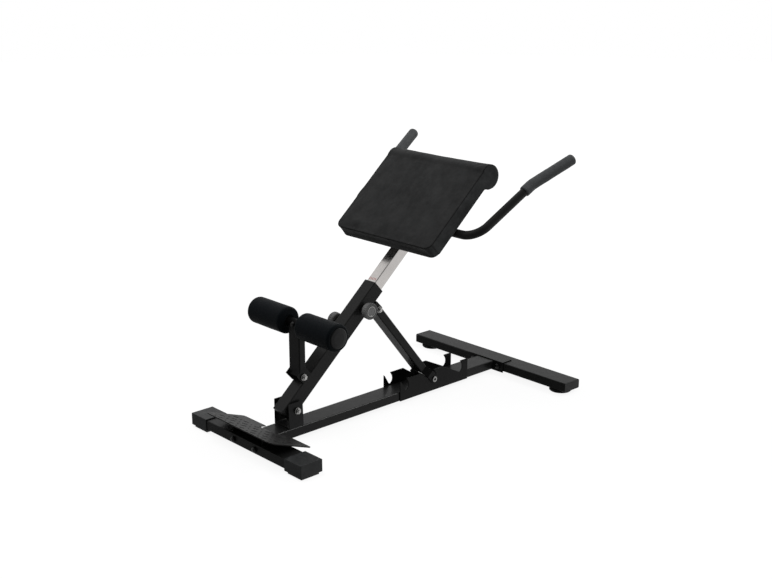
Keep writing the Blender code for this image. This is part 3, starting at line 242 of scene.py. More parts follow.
def moulded(name, dark, light, low=0.42, high=0.55, level=0.25, coat=0.0):
    """Textured injection moulding. A coat gives it a glossy skin."""
    finish = Finish(name, light, low, Specular_IOR_Level=level, Coat_Weight=coat, Coat_Roughness=0.12)
    finish.colours(finish.noise(scale=30, detail=4), (0.35, dark), (0.65, light))
    finish.gloss(finish.noise(scale=90, detail=4), low, high)
    return finish.bump(finish.cells(scale=1300), depth=0.00006, strength=0.45).material


def metal(name, dark, light, low, high, stretch=None, marks=0.25):
    """Plated metal with fine marks and faint smudges. stretch draws the marks out."""
    finish = Finish(name, light, low, metallic=1.0)
    finish.colours(finish.noise(scale=14, detail=4), (0.35, dark), (0.65, light))
    finish.gloss(finish.noise(scale=45, detail=5, roughness=0.7), low, high)
    fine = finish.noise(scale=700, detail=2, roughness=0.5, stretch=stretch)
    return finish.bump(fine, depth=0.00001, strength=marks).material


def foam(name, dark, light, grain=1.0, sheen=0.03, low=0.78, high=0.95, level=0.08):
    """Closed-cell foam skin: small pores, soft clouding and a dusty sheen."""
    finish = Finish(name, light, low, Specular_IOR_Level=level, Sheen_Weight=sheen, Sheen_Roughness=0.5)
    finish.colours(finish.noise(scale=75, detail=6, roughness=0.7), (0.3, dark), (0.7, light))
    finish.gloss(finish.noise(scale=160, detail=3), low, high)
    finish.bump(finish.noise(scale=420, detail=4, roughness=0.65), depth=0.00022 * grain, strength=0.5)
    return finish.bump(finish.cells(scale=1500), depth=0.00012 * grain, strength=0.6).material


def suede(name, dark, light):
    """Brushed microfibre: cloudy nap, fine grain and a soft sheen at the edges."""
    finish = Finish(name, light, 0.8, Specular_IOR_Level=0.10, Sheen_Weight=0.05, Sheen_Roughness=0.4)
    finish.colours(finish.noise(scale=13, detail=10, roughness=0.74), (0.36, dark), (0.66, light))
    finish.gloss(finish.noise(scale=40, detail=5), low=0.70, high=0.88)
    finish.bump(finish.noise(scale=420, detail=5, roughness=0.7), depth=0.00016, strength=0.5)
    fine = finish.noise(scale=1500, detail=2, roughness=0.6)
    return finish.bump(fine, depth=0.00008, strength=0.5).material


def wood(name):
    """Black stained plywood with long grain."""
    dark, middle, light = (0.010, 0.009, 0.008), (0.018, 0.017, 0.015), (0.028, 0.025, 0.022)
    finish = Finish(name, (0.018, 0.017, 0.016), 0.75, Specular_IOR_Level=0.2)
    grain = finish.noise(scale=9, detail=6, roughness=0.65, stretch=(2, 14, 2))
    finish.colours(grain, (0.32, dark), (0.55, middle), (0.7, light))
    finish.gloss(finish.noise(scale=40, detail=4), low=0.5, high=0.7)
    fibres = finish.noise(scale=60, detail=5, roughness=0.7, stretch=(1, 12, 1))
    return finish.bump(fibres, depth=0.0003, strength=0.5).material


PAINT = painted("paint_black", (0.0068, 0.0068, 0.0068), (0.0092, 0.0092, 0.0091))
# A lighter copy of the black paint for the upright and the handle tube: painted light for the light these
# tubes catch.
PAINT_PAINTED_LIGHTER = painted("paint_black_painted_lighter", (0.0105, 0.0105, 0.0104), (0.0138, 0.0137, 0.0135))
TREAD = painted("paint_tread", (0.0080, 0.0079, 0.0077), (0.0120, 0.0118, 0.0114),
                low=0.48, high=0.58, level=0.19, coat=0.0)
PLATE = painted("paint_plates", (0.0040, 0.0040, 0.0041), (0.0060, 0.0060, 0.0059),
                low=0.40, high=0.48, level=0.05, coat=0.12)
# Near-black paint without a coat for the roller axle and the pin's ends: black paint, made darker as painted
# shade for the shadow they sit in.
BLACK_PAINTED_SHADE = painted("paint_black_painted_shade", (0.0022, 0.0022, 0.0022), (0.0032, 0.0032, 0.0032),
               low=0.40, high=0.48, level=0.05, coat=0.0)
CAPS = moulded("moulded_caps", (0.0082, 0.0090, 0.0095), (0.0126, 0.0137, 0.0143),
               low=0.42, high=0.55, level=0.18, coat=0.12)
PLUGS = moulded("moulded_plugs", (0.0040, 0.0041, 0.0042), (0.0066, 0.0067, 0.0068))
DISCS = moulded("moulded_discs", (0.0032, 0.0034, 0.0036), (0.0048, 0.0050, 0.0052),
                low=0.34, high=0.44, level=0.2)
KNOBS = moulded("moulded_knobs", (0.092, 0.092, 0.092), (0.128, 0.128, 0.127), low=0.36, high=0.5)
KNOB_FACE = moulded("moulded_knob_face", (0.17, 0.17, 0.17), (0.23, 0.23, 0.229), low=0.3, high=0.42)
RUBBER = moulded("rubber_feet", (0.0050, 0.0051, 0.0053), (0.0085, 0.0086, 0.0088),
                 low=0.7, high=0.85, level=0.2)
CHROME = metal("chrome_post", (0.53, 0.508, 0.493), (0.60, 0.575, 0.558),
               low=0.20, high=0.23, stretch=(1, 6, 1), marks=0.08)
ZINC = metal("zinc_bright", (0.30, 0.30, 0.295), (0.46, 0.455, 0.445), low=0.18, high=0.30)
DARK_BOLT = metal("bolt_black", (0.035, 0.035, 0.036), (0.060, 0.060, 0.059), low=0.32, high=0.42)
PIN_RING = metal("ring_bright", (0.24, 0.24, 0.236), (0.36, 0.36, 0.352), low=0.25, high=0.38)
ROLLER_FOAM = foam("roller_foam", (0.0024, 0.0034, 0.0044), (0.0036, 0.0050, 0.0063),
                   grain=0.6, sheen=0.012, low=0.52, high=0.64, level=0.05)
GRIP_FOAM = foam("grip_foam", (0.0370, 0.0395, 0.0415), (0.0610, 0.0640, 0.0660),
                 grain=1.2, sheen=0.06, low=0.55, high=0.68, level=0.20)
SUEDE = suede("pad_suede", (0.0185, 0.0188, 0.0190), (0.0325, 0.0328, 0.0330))
# A lighter copy of the pad's suede for its side panels: painted light for the light the sides catch.
SUEDE_PAINTED_LIGHTER = suede("pad_suede_painted_lighter", (0.0180, 0.0189, 0.0193), (0.0450, 0.0465, 0.0472))
# A near-black copy of the suede for the tube in the seam: thread, darkened as painted shade for the crease.
SEAM_PAINTED_SHADE = suede("pad_seam_painted_shade", (0.0030, 0.0030, 0.0031), (0.0055, 0.0055, 0.0056))
THREAD = suede("pad_thread", (0.0150, 0.0152, 0.0154), (0.0240, 0.0242, 0.0244))
PLYWOOD = wood("plywood_board")
MARK = moulded("mark_red", (0.44, 0.09, 0.08), (0.56, 0.14, 0.12), low=0.5, high=0.6)

BY_SLOT = {
    "black_paint": PAINT, "moulded_plastic": CAPS, "black_rubber": RUBBER, "chrome": CHROME, "zinc": ZINC,
    "foam": ROLLER_FOAM, "upholstery": SUEDE, "plywood": PLYWOOD, "knob_plastic": KNOBS,
}
BY_NODE = {
    "upright_tube": PAINT_PAINTED_LIGHTER, "foot_plate": TREAD, "plate_rib_near": PLATE, "plate_rib_far": PLATE,
    "ladder_plate_near": PLATE, "ladder_plate_far": PLATE, "fork_ear_near": PLATE, "fork_ear_far": PLATE,
    "rear_plug_near": PLUGS, "rear_plug_far": PLUGS, "upright_plug": PLUGS, "mouth_liner": PLUGS,
    "roller_axle": BLACK_PAINTED_SHADE, "roller_cap_near": DISCS, "roller_cap_far": DISCS,
    "strut_pin_ring": PIN_RING, "strut_pin": PIN_RING,
    "front_bolt_near": DARK_BOLT, "front_bolt_far": DARK_BOLT, "rear_bolt_near": DARK_BOLT,
    "rear_bolt_far": DARK_BOLT, "axle_bolt": DARK_BOLT,
}


def dress_solids():
    """Gives every CAD node its finish, and rounded edges that catch the light."""
    for name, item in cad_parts.items():
        for slot in item.material_slots:
            slot.material = BY_NODE.get(name, BY_SLOT[slot.material.name])
        weld = item.modifiers.new("weld", "WELD")
        weld.merge_threshold = WELD_REACH
        flat = item.modifiers.new("flat", "DECIMATE")
        flat.decimate_type = "DISSOLVE"
        flat.angle_limit = FLAT_TURN
        edge = item.modifiers.new("edge", "BEVEL")
        edge.width = WIDE_EDGES.get(name, EDGE)
        edge.segments = 2
        edge.limit_method = "ANGLE"
        edge.angle_limit = EDGE_TURN
        edge.use_clamp_overlap = True
        item.modifiers.new("shade", "WEIGHTED_NORMAL").keep_sharp = True


# Shapes

def placed(name, data):
    """A new object of the scene."""
    item = bpy.data.objects.new(name, data)
    bpy.context.scene.collection.objects.link(item)
    return item


def link(name, mesh, body, material, replaced=()):
    """Makes a piece of a mesh in the shared frame, and lets it ride on a body."""
    item = placed(name, mesh)
    mesh.materials.append(material)
    mesh.shade_smooth()
    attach(item, body)
    if replaced:
        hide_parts(*replaced)
    return item


def mesh_of(shape, name):
    """A mesh from a finished bmesh, which is freed."""
    mesh = bpy.data.meshes.new(name)
    shape.to_mesh(mesh)
    shape.free()
    return mesh


def grid_mesh(rows, closed_rows=False, caps=False):
    """A mesh from rows of points that close round. closed_rows joins the last row to the first."""
    shape = bmesh.new()
    made = [[shape.verts.new(point) for point in row] for row in rows]
    pairs = list(zip(made, made[1:]))
    if closed_rows:
        pairs.append((made[-1], made[0]))
    for first, second in pairs:
        count = len(first)
        for i in range(count):
            j = (i + 1) % count
            shape.faces.new((first[i], first[j], second[j], second[i]))
    if caps:
        shape.faces.new(made[0][::-1])
        shape.faces.new(made[-1])
    bmesh.ops.recalc_face_normals(shape, faces=shape.faces)
    return mesh_of(shape, "piece")


def joined(meshes):
    """Several meshes as one."""
    shape = bmesh.new()
    for mesh in meshes:
        shape.from_mesh(mesh)
        bpy.data.meshes.remove(mesh)
    return mesh_of(shape, "joined")


def quarter(count, first=0):
    """The angles of a quarter turn, cut into count steps."""
    return [math.pi / 2 * i / count for i in range(first, count + 1)]


def bend(before, corner, after, radius, count=14):
    """Points of a circular bend in place of a sharp corner."""
    back = (before - corner).normalized()
    on = (after - corner).normalized()
    half = back.angle(on) / 2
    centre = corner + (back + on).normalized() * radius / math.sin(half)
    first = corner + back * radius / math.tan(half) - centre
    last = corner + on * radius / math.tan(half) - centre
    steps = (i / count for i in range(count + 1))
    return [centre + (first * (1 - s) + last * s).normalized() * radius for s in steps]


def sweep_rows(points, radii, sides, wobble=0.0, seed=0.0):
    """Rings round a path, with one radius for each point. wobble makes the skin a little uneven."""
    askew = Vector((0.31, 0.17, 0.93))
    wobble_scale, full_radius = 40, 0.01
    rows = []
    ahead = (points[1] - points[0]).normalized()
    side = ahead.cross(askew).normalized()
    for i, (point, radius) in enumerate(zip(points, radii)):
        low, high = points[max(i - 1, 0)], points[min(i + 1, len(points) - 1)]
        if (high - low).length > 1e-9:
            ahead = (high - low).normalized()
        side = (side - ahead * side.dot(ahead)).normalized()
        up = ahead.cross(side)
        row = []
        for k in range(sides):
            turn = 2 * math.pi * k / sides
            out = side * math.cos(turn) + up * math.sin(turn)
            spot = point + out * radius
            wave = noise.noise(spot * wobble_scale + Vector((seed, 0, 0)))
            row.append(spot + out * (wave * wobble * min(1, radius / full_radius)))
        rows.append(row)
    return rows


def resample(points, step):
    """Evenly spaced points along a path."""
    result = [points[0]]
    left = step
    for first, second in zip(points, points[1:]):
        length = (second - first).length
        done = 0.0
        while length - done >= left:
            done += left
            result.append(first.lerp(second, done / length))
            left = step
        left -= length - done
    return result


def waves_at(spot, waves):
    """A small height that wanders over space. A wave is (scale, height)."""
    return sum(noise.noise(spot * scale) * height for scale, height in waves)


def point_tree(points):
    """A search tree over points."""
    tree = KDTree(len(points))
    for i, point in enumerate(points):
        tree.insert(point, i)
    tree.balance()
    return tree


def applied(item):
    """The mesh of an object with its modifiers."""
    graph = bpy.context.evaluated_depsgraph_get()
    return bpy.data.meshes.new_from_object(item.evaluated_get(graph))


def with_modifier(mesh, kind, **settings):
    """The mesh after one modifier."""
    item = placed("work", mesh)
    modifier = item.modifiers.new("work", kind)
    for name, value in settings.items():
        setattr(modifier, name, value)
    bpy.context.view_layer.update()
    result = applied(item)
    bpy.data.objects.remove(item)
    return result


def rounded_slab(start, end, half, corner, low, high):
    """A slab with rounded corners, its length along X."""
    ring = []
    step = 15
    centres = ((end - corner, half - corner, 0), (start + corner, half - corner, 90),
               (start + corner, corner - half, 180), (end - corner, corner - half, 270))
    for centre_x, centre_y, first in centres:
        for i in range(90 // step + 1):
            turn = math.radians(first + step * i)
            ring.append((centre_x + corner * math.cos(turn), centre_y + corner * math.sin(turn)))
    return grid_mesh([[Vector((x, y, z)) for x, y in ring] for z in (low, high)], caps=True)


# The pad

def roll_point(turn, radius):
    """A point round the roll's axis, as its place in X and Z."""
    angle = math.radians(turn)
    return (ROLL_X + radius * math.cos(angle), ROLL_Z + radius * math.sin(angle))


def on_start_corner(edge):
    """True for one of the two edges that become the rounded lower corners of the pad."""
    first, second = edge.verts
    at_start = all(abs(v.co.x - PAD_START - PAD_SLACK) < SAME_PLACE for v in (first, second))
    return at_start and abs(first.co.y - second.co.y) < SAME_PLACE


def on_rim(edge, half):
    """True for a sharp edge round the face, the roll's ends or a side panel."""
    if len(edge.link_faces) != 2 or edge.calc_face_angle() <= RIM_TURN:
        return False
    raised = min(v.co.z for v in edge.verts) > PAD_BACK - 0.0001
    return raised or all(abs(abs(v.co.y) - half) < SAME_PLACE for v in edge.verts)


def pad_form():
    """The pad's firm shape before it is stuffed: flat face, round roll, rounded lower corners."""
    roll = ROLL_RADIUS - PAD_SLACK
    meet = 180 - math.degrees(math.asin((PAD_FACE - PAD_SLACK - ROLL_Z) / roll))
    profile = [(PAD_START + PAD_SLACK, PAD_BACK), (PAD_START + PAD_SLACK, PAD_FACE - PAD_SLACK)]
    profile += [roll_point(meet + (ROLL_UNDER - meet) * i / ROLL_STEPS, roll) for i in range(ROLL_STEPS + 1)]
    profile += PAD_LIP
    half = PAD_HALF - PAD_SLACK
    shape = bmesh.new()
    start = shape.faces.new([shape.verts.new((x, -half, z)) for x, z in profile])
    sides = bmesh.ops.extrude_face_region(shape, geom=[start])
    moved = [item for item in sides["geom"] if isinstance(item, bmesh.types.BMVert)]
    bmesh.ops.translate(shape, verts=moved, vec=(0, 2 * half, 0))
    bmesh.ops.recalc_face_normals(shape, faces=shape.faces)
    corners = [edge for edge in shape.edges if on_start_corner(edge)]
    bmesh.ops.bevel(shape, geom=corners, offset=PAD_CORNER, segments=10, profile=0.5, affect="EDGES")
    rim = [edge for edge in shape.edges if on_rim(edge, half)]
    bmesh.ops.bevel(shape, geom=rim, offset=PAD_RIM, segments=3, profile=0.5, affect="EDGES")
    return mesh_of(shape, "pad_form")


def held_back(item, mesh):
    """A vertex group that holds the pad's back on its board."""
    held = item.vertex_groups.new(name="held")
    for vertex in mesh.vertices:
        x, _, z = vertex.co
        grip = 1.0 if z < HELD_HEIGHT and x < HELD_END else 0.0
        held.add([vertex.index], grip, "REPLACE")
    return held.name


def stuffing(mesh, cap):
    """Places on the firm shape, and how far cloth under pressure moves each, its back held."""
    item = placed("stuffing", mesh)
    scene = bpy.context.scene
    group = held_back(item, mesh)
    cloth = item.modifiers.new("cloth", "CLOTH")
    cloth.settings.quality = 5
    cloth.settings.mass = 0.3
    cloth.settings.tension_stiffness = 20
    cloth.settings.compression_stiffness = 20
    cloth.settings.bending_stiffness = 2
    cloth.settings.use_pressure = True
    cloth.settings.uniform_pressure_force = 4
    cloth.settings.vertex_group_mass = group
    cloth.settings.effector_weights.gravity = 0
    cloth.point_cache.frame_start = 1
    cloth.point_cache.frame_end = CLOTH_FRAMES
    for number in range(1, CLOTH_FRAMES + 1):
        scene.frame_set(number)
    puffed = applied(item)
    before = [vertex.co.copy() for vertex in mesh.vertices]
    bpy.data.objects.remove(item)
    scene.frame_set(1)
    moves = []
    for vertex, old in zip(puffed.vertices, before):
        move = vertex.co - old
        moves.append(move.normalized() * min(move.length, cap))
    return before, moves


def swell(mesh, before, moves, seams):
    """Moves a fine mesh as the cloth moved, less towards the seams. The side panels stay nearly flat."""
    side_band, neighbours, softening = 0.002, 6, 0.002
    places = point_tree(before)
    for vertex in mesh.vertices:
        share = min(1.0, seams.find(vertex.co)[2] / SWELL_REACH)
        if abs(vertex.co.y) > PAD_HALF - side_band:
            vertex.co.y += math.copysign(SIDE_SWELL * share, vertex.co.y)
            continue
        total, weight = Vector(), 0.0
        for _, index, distance in places.find_n(vertex.co, neighbours):
            pull = 1 / (distance + softening) ** 2
            total += moves[index] * pull
            weight += pull
        vertex.co += total / weight * share ** SWELL_SHAPE


def refined(mesh, seams, reach):
    """The mesh with smaller faces beside the seams."""
    shape = bmesh.new()
    shape.from_mesh(mesh)
    close = {v for v in shape.verts if seams.find(v.co)[2] < reach}
    edges = [e for e in shape.edges if e.verts[0] in close and e.verts[1] in close]
    bmesh.ops.subdivide_edges(shape, edges=edges, cuts=1, use_grid_fill=True)
    shape.to_mesh(mesh)
    shape.free()
    return mesh


def press_groove(mesh, seams):
    """Draws the skin in along the seam, and makes the face and the sides slightly uneven."""
    wrinkled_above = PAD_BACK + 0.012
    normals = [vertex.normal.copy() for vertex in mesh.vertices]
    for vertex, normal in zip(mesh.vertices, normals):
        distance = seams.find(vertex.co)[2]
        if distance < GROOVE_REACH:
            vertex.co -= normal * GROOVE_DEPTH * math.exp(-(distance / GROOVE_WIDTH) ** 2)
        if vertex.co.z > wrinkled_above:
            vertex.co += normal * waves_at(vertex.co, WRINKLES)


def with_pocket(mesh):
    """The pad with the pocket in its back that the board sits in."""
    pocket = rounded_slab(BOARD_START - BOARD_ROOM, BOARD_END + BOARD_ROOM, BOARD_HALF + BOARD_ROOM,
                          BOARD_CORNER, 0, BOARD_TOP + BOARD_ROOM)
    cutter = placed("pocket", pocket)
    mesh = with_modifier(mesh, "BOOLEAN", object=cutter, operation="DIFFERENCE", solver="EXACT")
    bpy.data.objects.remove(cutter)
    return mesh


def face_corner(inset, height):
    """Points round one lower corner of the pad's face, drawn in by an inset."""
    edge = PAD_HALF - inset
    radius = PAD_CORNER - inset
    points = []
    steps = 12
    for i in range(steps + 1):
        turn = math.radians(90 + 90 * i / steps)
        points.append(Vector((PAD_START + PAD_CORNER + radius * math.cos(turn),
                              edge - radius + radius * math.sin(turn), height)))
    return points


def and_mirrored(points):
    """A path on one side of the pad, and back on the other."""
    return points + [Vector((p.x, -p.y, p.z)) for p in points[::-1]]


def seam_path():
    """The seam in the slide's frame: round the roll's end, down the face's side, and back on the other."""
    edge, height = PAD_HALF - SEAM_INSET, PAD_FACE - SEAM_INSET
    roll = [roll_point(turn, ROLL_RADIUS - SEAM_INSET) for turn in SEAM_TURNS]
    side = [Vector((x, edge, z)) for x, z in roll]
    side.append(Vector((SEAM_MEETS_FACE, edge, height)))
    return and_mirrored(side + face_corner(SEAM_INSET, height))


def make_seam_shade_tube(path, surface):
    """A near-black tube at the bottom of the seam: the seam's thread, darkened as painted shade in its
    crease.
    """
    spots = [surface.find_nearest(point)[0] for point in path]
    spots = [(a + b * 2 + c) / 4 for a, b, c in zip([spots[0]] + spots, spots, spots[1:] + [spots[-1]])]
    mesh = grid_mesh(sweep_rows(spots, [SEAM_RADIUS] * len(spots), sides=8), caps=True)
    mesh.transform(SLIDE)
    link("pad_shade_tube_in_seam", mesh, "pad_slide", SEAM_PAINTED_SHADE)


def make_stitches(surface):
    """Fine thread on the face beside the seam, four points to a stitch."""
    first = Vector((STITCH_START, PAD_HALF - STITCH_INSET, PAD_FACE))
    spots = resample(and_mirrored([first] + face_corner(STITCH_INSET, PAD_FACE)), STITCH_STEP)
    count = len(STITCH_HEIGHTS)
    meshes = []
    for i in range(0, len(spots) - count, count + 1):
        points = []
        for spot, height in zip(spots[i:i + count], STITCH_HEIGHTS):
            place, normal, _, _ = surface.find_nearest(spot)
            points.append(place + normal * height)
        meshes.append(grid_mesh(sweep_rows(points, STITCH_RADII, sides=6), caps=True))
    mesh = joined(meshes)
    mesh.transform(SLIDE)
    link("pad_stitches", mesh, "pad_slide", THREAD)


def make_pad():
    """Stuffed pad with a sewn seam, which takes the place of the plain cushion."""
    side_facing = 0.75
    form = pad_form()
    mesh = with_modifier(form, "REMESH", mode="VOXEL", voxel_size=PAD_VOXEL)
    mesh = with_modifier(mesh, "SMOOTH", factor=0.5, iterations=2)
    path = resample(seam_path(), SEAM_STEP)
    seams = point_tree(path)
    coarse = with_modifier(form, "REMESH", mode="VOXEL", voxel_size=CLOTH_VOXEL)
    swell(mesh, *stuffing(coarse, CLOTH_CAP), seams)
    mesh = refined(mesh, seams, SEAM_FINE)
    press_groove(mesh, seams)
    surface = BVHTree.FromPolygons([v.co for v in mesh.vertices], [p.vertices[:] for p in mesh.polygons])
    make_seam_shade_tube(path, surface)
    make_stitches(surface)
    mesh = with_pocket(mesh)
    # Faces turned to either side take the lighter copy of the suede, as painted light.
    sides = [abs(face.normal.y) > side_facing for face in mesh.polygons]
    mesh.transform(SLIDE)
    pad = link("pad", mesh, "pad_slide", SUEDE, ["pad_cushion"])
    mesh.materials.append(SUEDE_PAINTED_LIGHTER)
    mesh.polygons.foreach_set("material_index", sides)


# Foam and tube

def roller_profile():
    """(radius, distance out) over a roller's skin, from its bore over both soft rims and back."""
    rim, proud, steps = ROLLER_RIM, 0.0008, 30
    length = ROLLER_OUTER - ROLLER_INNER - 2 * rim
    profile = [(ROLLER_BORE, ROLLER_INNER + 0.0004), (0.022, ROLLER_INNER), (0.030, ROLLER_INNER)]
    profile += [(ROLLER_RADIUS - rim + rim * math.sin(t), ROLLER_INNER + rim - rim * math.cos(t))
                for t in quarter(8)]
    profile += [(ROLLER_RADIUS, ROLLER_INNER + rim + length * i / steps) for i in range(1, steps + 1)]
    profile += [(ROLLER_RADIUS - rim + rim * math.cos(t), ROLLER_OUTER - rim + proud + rim * math.sin(t))
                for t in quarter(8, first=1)]
    profile += [(ROLLER_CAP_RADIUS + 0.0008, ROLLER_OUTER + 0.0002), (0.030, ROLLER_OUTER - 0.0002),
                (0.022, ROLLER_OUTER - 0.0002), (ROLLER_BORE, ROLLER_OUTER - 0.0004)]
    return profile


def roller_row(radius, along, side):
    """One ring of a roller, uneven only on its outer skin."""
    count, skin, sink = 72, 0.034, 0.0002
    row = []
    for k in range(count):
        turn = 2 * math.pi * k / count
        out = Vector((math.cos(turn), 0, math.sin(turn)))
        spot = out * radius + Vector((0, side * along, 0))
        uneven = waves_at(spot, ROLLER_WAVES) - sink if radius > skin else 0.0
        row.append(ROLLER_CENTRE + spot + out * uneven)
    return row


def make_rollers():
    """Foam rollers with soft rims round their end discs, and a slightly uneven skin."""
    for label, side in SIDES:
        rows = [roller_row(radius, along, side) for radius, along in roller_profile()]
        roller = link(f"roller_foam_{label}", grid_mesh(rows, closed_rows=True), f"{label}_roller",
                      ROLLER_FOAM, [f"roller_{label}"])


def handle_side(side):
    """Points of one arm in the shared frame: its lower bend, its upper bend and its tip."""
    flip = Vector((1, side, 1))
    shoulder = HANDLE_MIDDLE + Vector((0, side * HANDLE_HALF_SPAN[side], 0))
    elbow = HANDLE_ELBOW * flip
    tip = HANDLE_TIP * flip
    lower = bend(HANDLE_MIDDLE, shoulder, elbow, SHOULDER_BEND[side])
    upper = bend(shoulder, elbow, tip, ELBOW_BEND)
    return [SLIDE @ p for p in lower], [SLIDE @ p for p in upper], SLIDE @ tip


def grip_line(lower, upper, tip):
    """Path and radii of a foam sleeve: a rounded start on the tube, its length, and a domed end."""
    lead = (lower[-1] - upper[0]).normalized()
    out = (tip - upper[-1]).normalized()
    start = upper[0] + lead * GRIP_LEAD
    inner = HANDLE_RADIUS + 0.0002
    points = [start + lead * -0.006, start + lead * -0.0012]
    radii = [inner, inner]
    for turn in quarter(6):
        points.append(start - lead * (GRIP_RIM - GRIP_RIM * math.cos(turn)))
        radii.append(GRIP_RADIUS - GRIP_RIM + GRIP_RIM * math.sin(turn))
    body = resample([start - lead * (GRIP_RIM + 0.001)] + upper + [tip], step=0.004)
    points += body
    radii += [GRIP_RADIUS] * len(body)
    for turn in quarter(10, first=1):
        points.append(tip + out * GRIP_CAP * math.sin(turn))
        radii.append(max(GRIP_RADIUS * math.cos(turn), 0.0004))
    return points, radii


def make_handles():
    """The bent handle tube, and a soft sleeve with a rounded end on each arm."""
    arms = {side: handle_side(side) for _, side in SIDES}
    lower, upper, tip = arms[NEAR]
    path = [tip] + upper[::-1] + lower[::-1]
    lower, upper, tip = arms[FAR]
    path += lower + upper + [tip]
    rows = sweep_rows(path, [HANDLE_RADIUS - HANDLE_SLACK] * len(path), sides=36)
    link("handle_tube", grid_mesh(rows, caps=True), "pad_slide", PAINT_PAINTED_LIGHTER, ["handle_bar"])
    for label, side in SIDES:
        points, radii = grip_line(*arms[side])
        rows = sweep_rows(points, radii, sides=40, wobble=GRIP_WOBBLE, seed=side * 3.0)
        grip = link(f"grip_foam_{label}", grid_mesh(rows, caps=True), "pad_slide", GRIP_FOAM,
                    [f"grip_{label}", f"grip_cap_{label}"])


# Knobs and marks

def turned_rows(profile, axis, side, steps, ridges=0, ridge=0.0):
    """Rings of a turned piece across the bench. The profile is (radius, distance out, share of ridge)."""
    rows = []
    for radius, along, share in profile:
        row = []
        for k in range(steps):
            turn = 2 * math.pi * k / steps
            dip = ridge * share * max(0.0, math.cos(ridges * turn)) ** 2 if ridges else 0.0
            out = Vector((math.cos(turn), 0, math.sin(turn)))
            row.append(axis + out * (radius - dip) + Vector((0, side * along, 0)))
        rows.append(row)
    return rows


def plain_rows(detail, end, axis, side, steps):
    """Rings of a turned detail without ridges, measured from the end that carries it."""
    return turned_rows([(radius, end + out, 0) for radius, out in detail], axis, side, steps)


def knob_profile():
    """(radius, distance out, share of ridge) over a knob's bore, back, flared grip, rim and face."""
    start, end, rim = KNOB_START, KNOB_END, KNOB_RIM
    flare, length, steps, fade = 0.0014, 0.0130, 8, 1.6
    profile = [(KNOB_BORE, start + KNOB_BORE_DEPTH, 0), (KNOB_BORE, start, 0), (0.0215, start, 0),
               (0.0240, start + 0.0008, 0.2), (KNOB_BACK_RADIUS, start + 0.0030, 1)]
    profile += [(KNOB_BACK_RADIUS + flare * i / steps, start + 0.003 + length * i / steps, 1)
                for i in range(1, steps + 1)]
    profile += [(KNOB_RADIUS - rim + rim * math.cos(t), end - rim + rim * math.sin(t), 1 - t / fade)
                for t in quarter(6, first=1)]
    profile += [(0.0188, end - 0.0001, 0), (0.0180, end - 0.0007, 0), (0.0164, end - 0.0009, 0)]
    return profile


def make_knobs():
    """Ridged knobs with a bright ring round the face's middle."""
    for label, axis, side, body in (("pull", PULL_AXIS, NEAR, "pull_pin"),
                                    ("clamp", CLAMP_AXIS, FAR, "clamp_screw")):
        knob = turned_rows(knob_profile(), axis, side, steps=144, ridges=KNOB_RIDGES, ridge=KNOB_RIDGE_DEPTH)
        link(f"{label}_knob_body", grid_mesh(knob, caps=True), body, KNOBS, [f"{label}_knob"])
        ring = grid_mesh(plain_rows(KNOB_RING, KNOB_END, axis, side, steps=64), closed_rows=True)
        link(f"{label}_knob_ring", ring, body, ZINC)
        disc = grid_mesh(plain_rows(KNOB_DISC, KNOB_END, axis, side, steps=48), caps=True)
        link(f"{label}_knob_disc", disc, body, KNOB_FACE)


def make_pin_bore_shades():
    """A near-black dish on each end of the strut's pin: painted shade standing in for the shadow in its bore.
    """
    low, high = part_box("strut_pin")
    middle = Vector(((low[0] + high[0]) / 2, 0, (low[2] + high[2]) / 2))
    for label, side, end in (("near", NEAR, -low[1]), ("far", FAR, high[1])):
        mesh = grid_mesh(plain_rows(PIN_BORE_SHADE, end, middle, side, steps=32), caps=True)
        link(f"pin_bore_shade_{label}", mesh, "strut", BLACK_PAINTED_SHADE)


def make_marks():
    """Plain red ticks printed on the post's front, just above the upright's mouth."""
    low, high = Vector((0, 0, -0.0001)), Vector((0, 0, TICK_HEIGHT))
    half = Vector((0, TICK_HALF, 0))
    meshes = []
    for across in TICK_PLACES:
        first = Vector((TICK_START, across, POST_FACE))
        second = first + TICK_RUN
        ring = [first - half, first + half, second + half, second - half]
        meshes.append(grid_mesh([[p + low for p in ring], [p + high for p in ring]], caps=True))
    mesh = joined(meshes)
    mesh.transform(SLIDE)
    link("post_ticks", mesh, "pad_slide", MARK)


# Stage

def set_inputs(node, **values):
    """Sets sockets of a node by their names."""
    for socket, value in values.items():
        node.inputs[socket.replace("_", " ")].default_value = value


def combined(nodes, links, operation, first, second):
    """One value from two."""
    node = nodes.new("ShaderNodeMath")
    node.operation = operation
    links.new(first, node.inputs[0])
    links.new(second, node.inputs[1])
    return node.outputs[0]


def seen(nodes, links, *kinds):
    """1 for the named kinds of ray."""
    path = nodes.new("ShaderNodeLightPath")
    total = path.outputs[kinds[0]]
    for kind in kinds[1:]:
        total = combined(nodes, links, "MAXIMUM", total, path.outputs[kind])
    return total


def mixed(nodes, links, share, first, second, output):
    """Sends a mix of two shaders to an output node."""
    mix = nodes.new("ShaderNodeMixShader")
    links.new(share, mix.inputs[0])
    links.new(first.outputs[0], mix.inputs[1])
    links.new(second.outputs[0], mix.inputs[2])
    links.new(mix.outputs[0], nodes[output].inputs["Surface"])


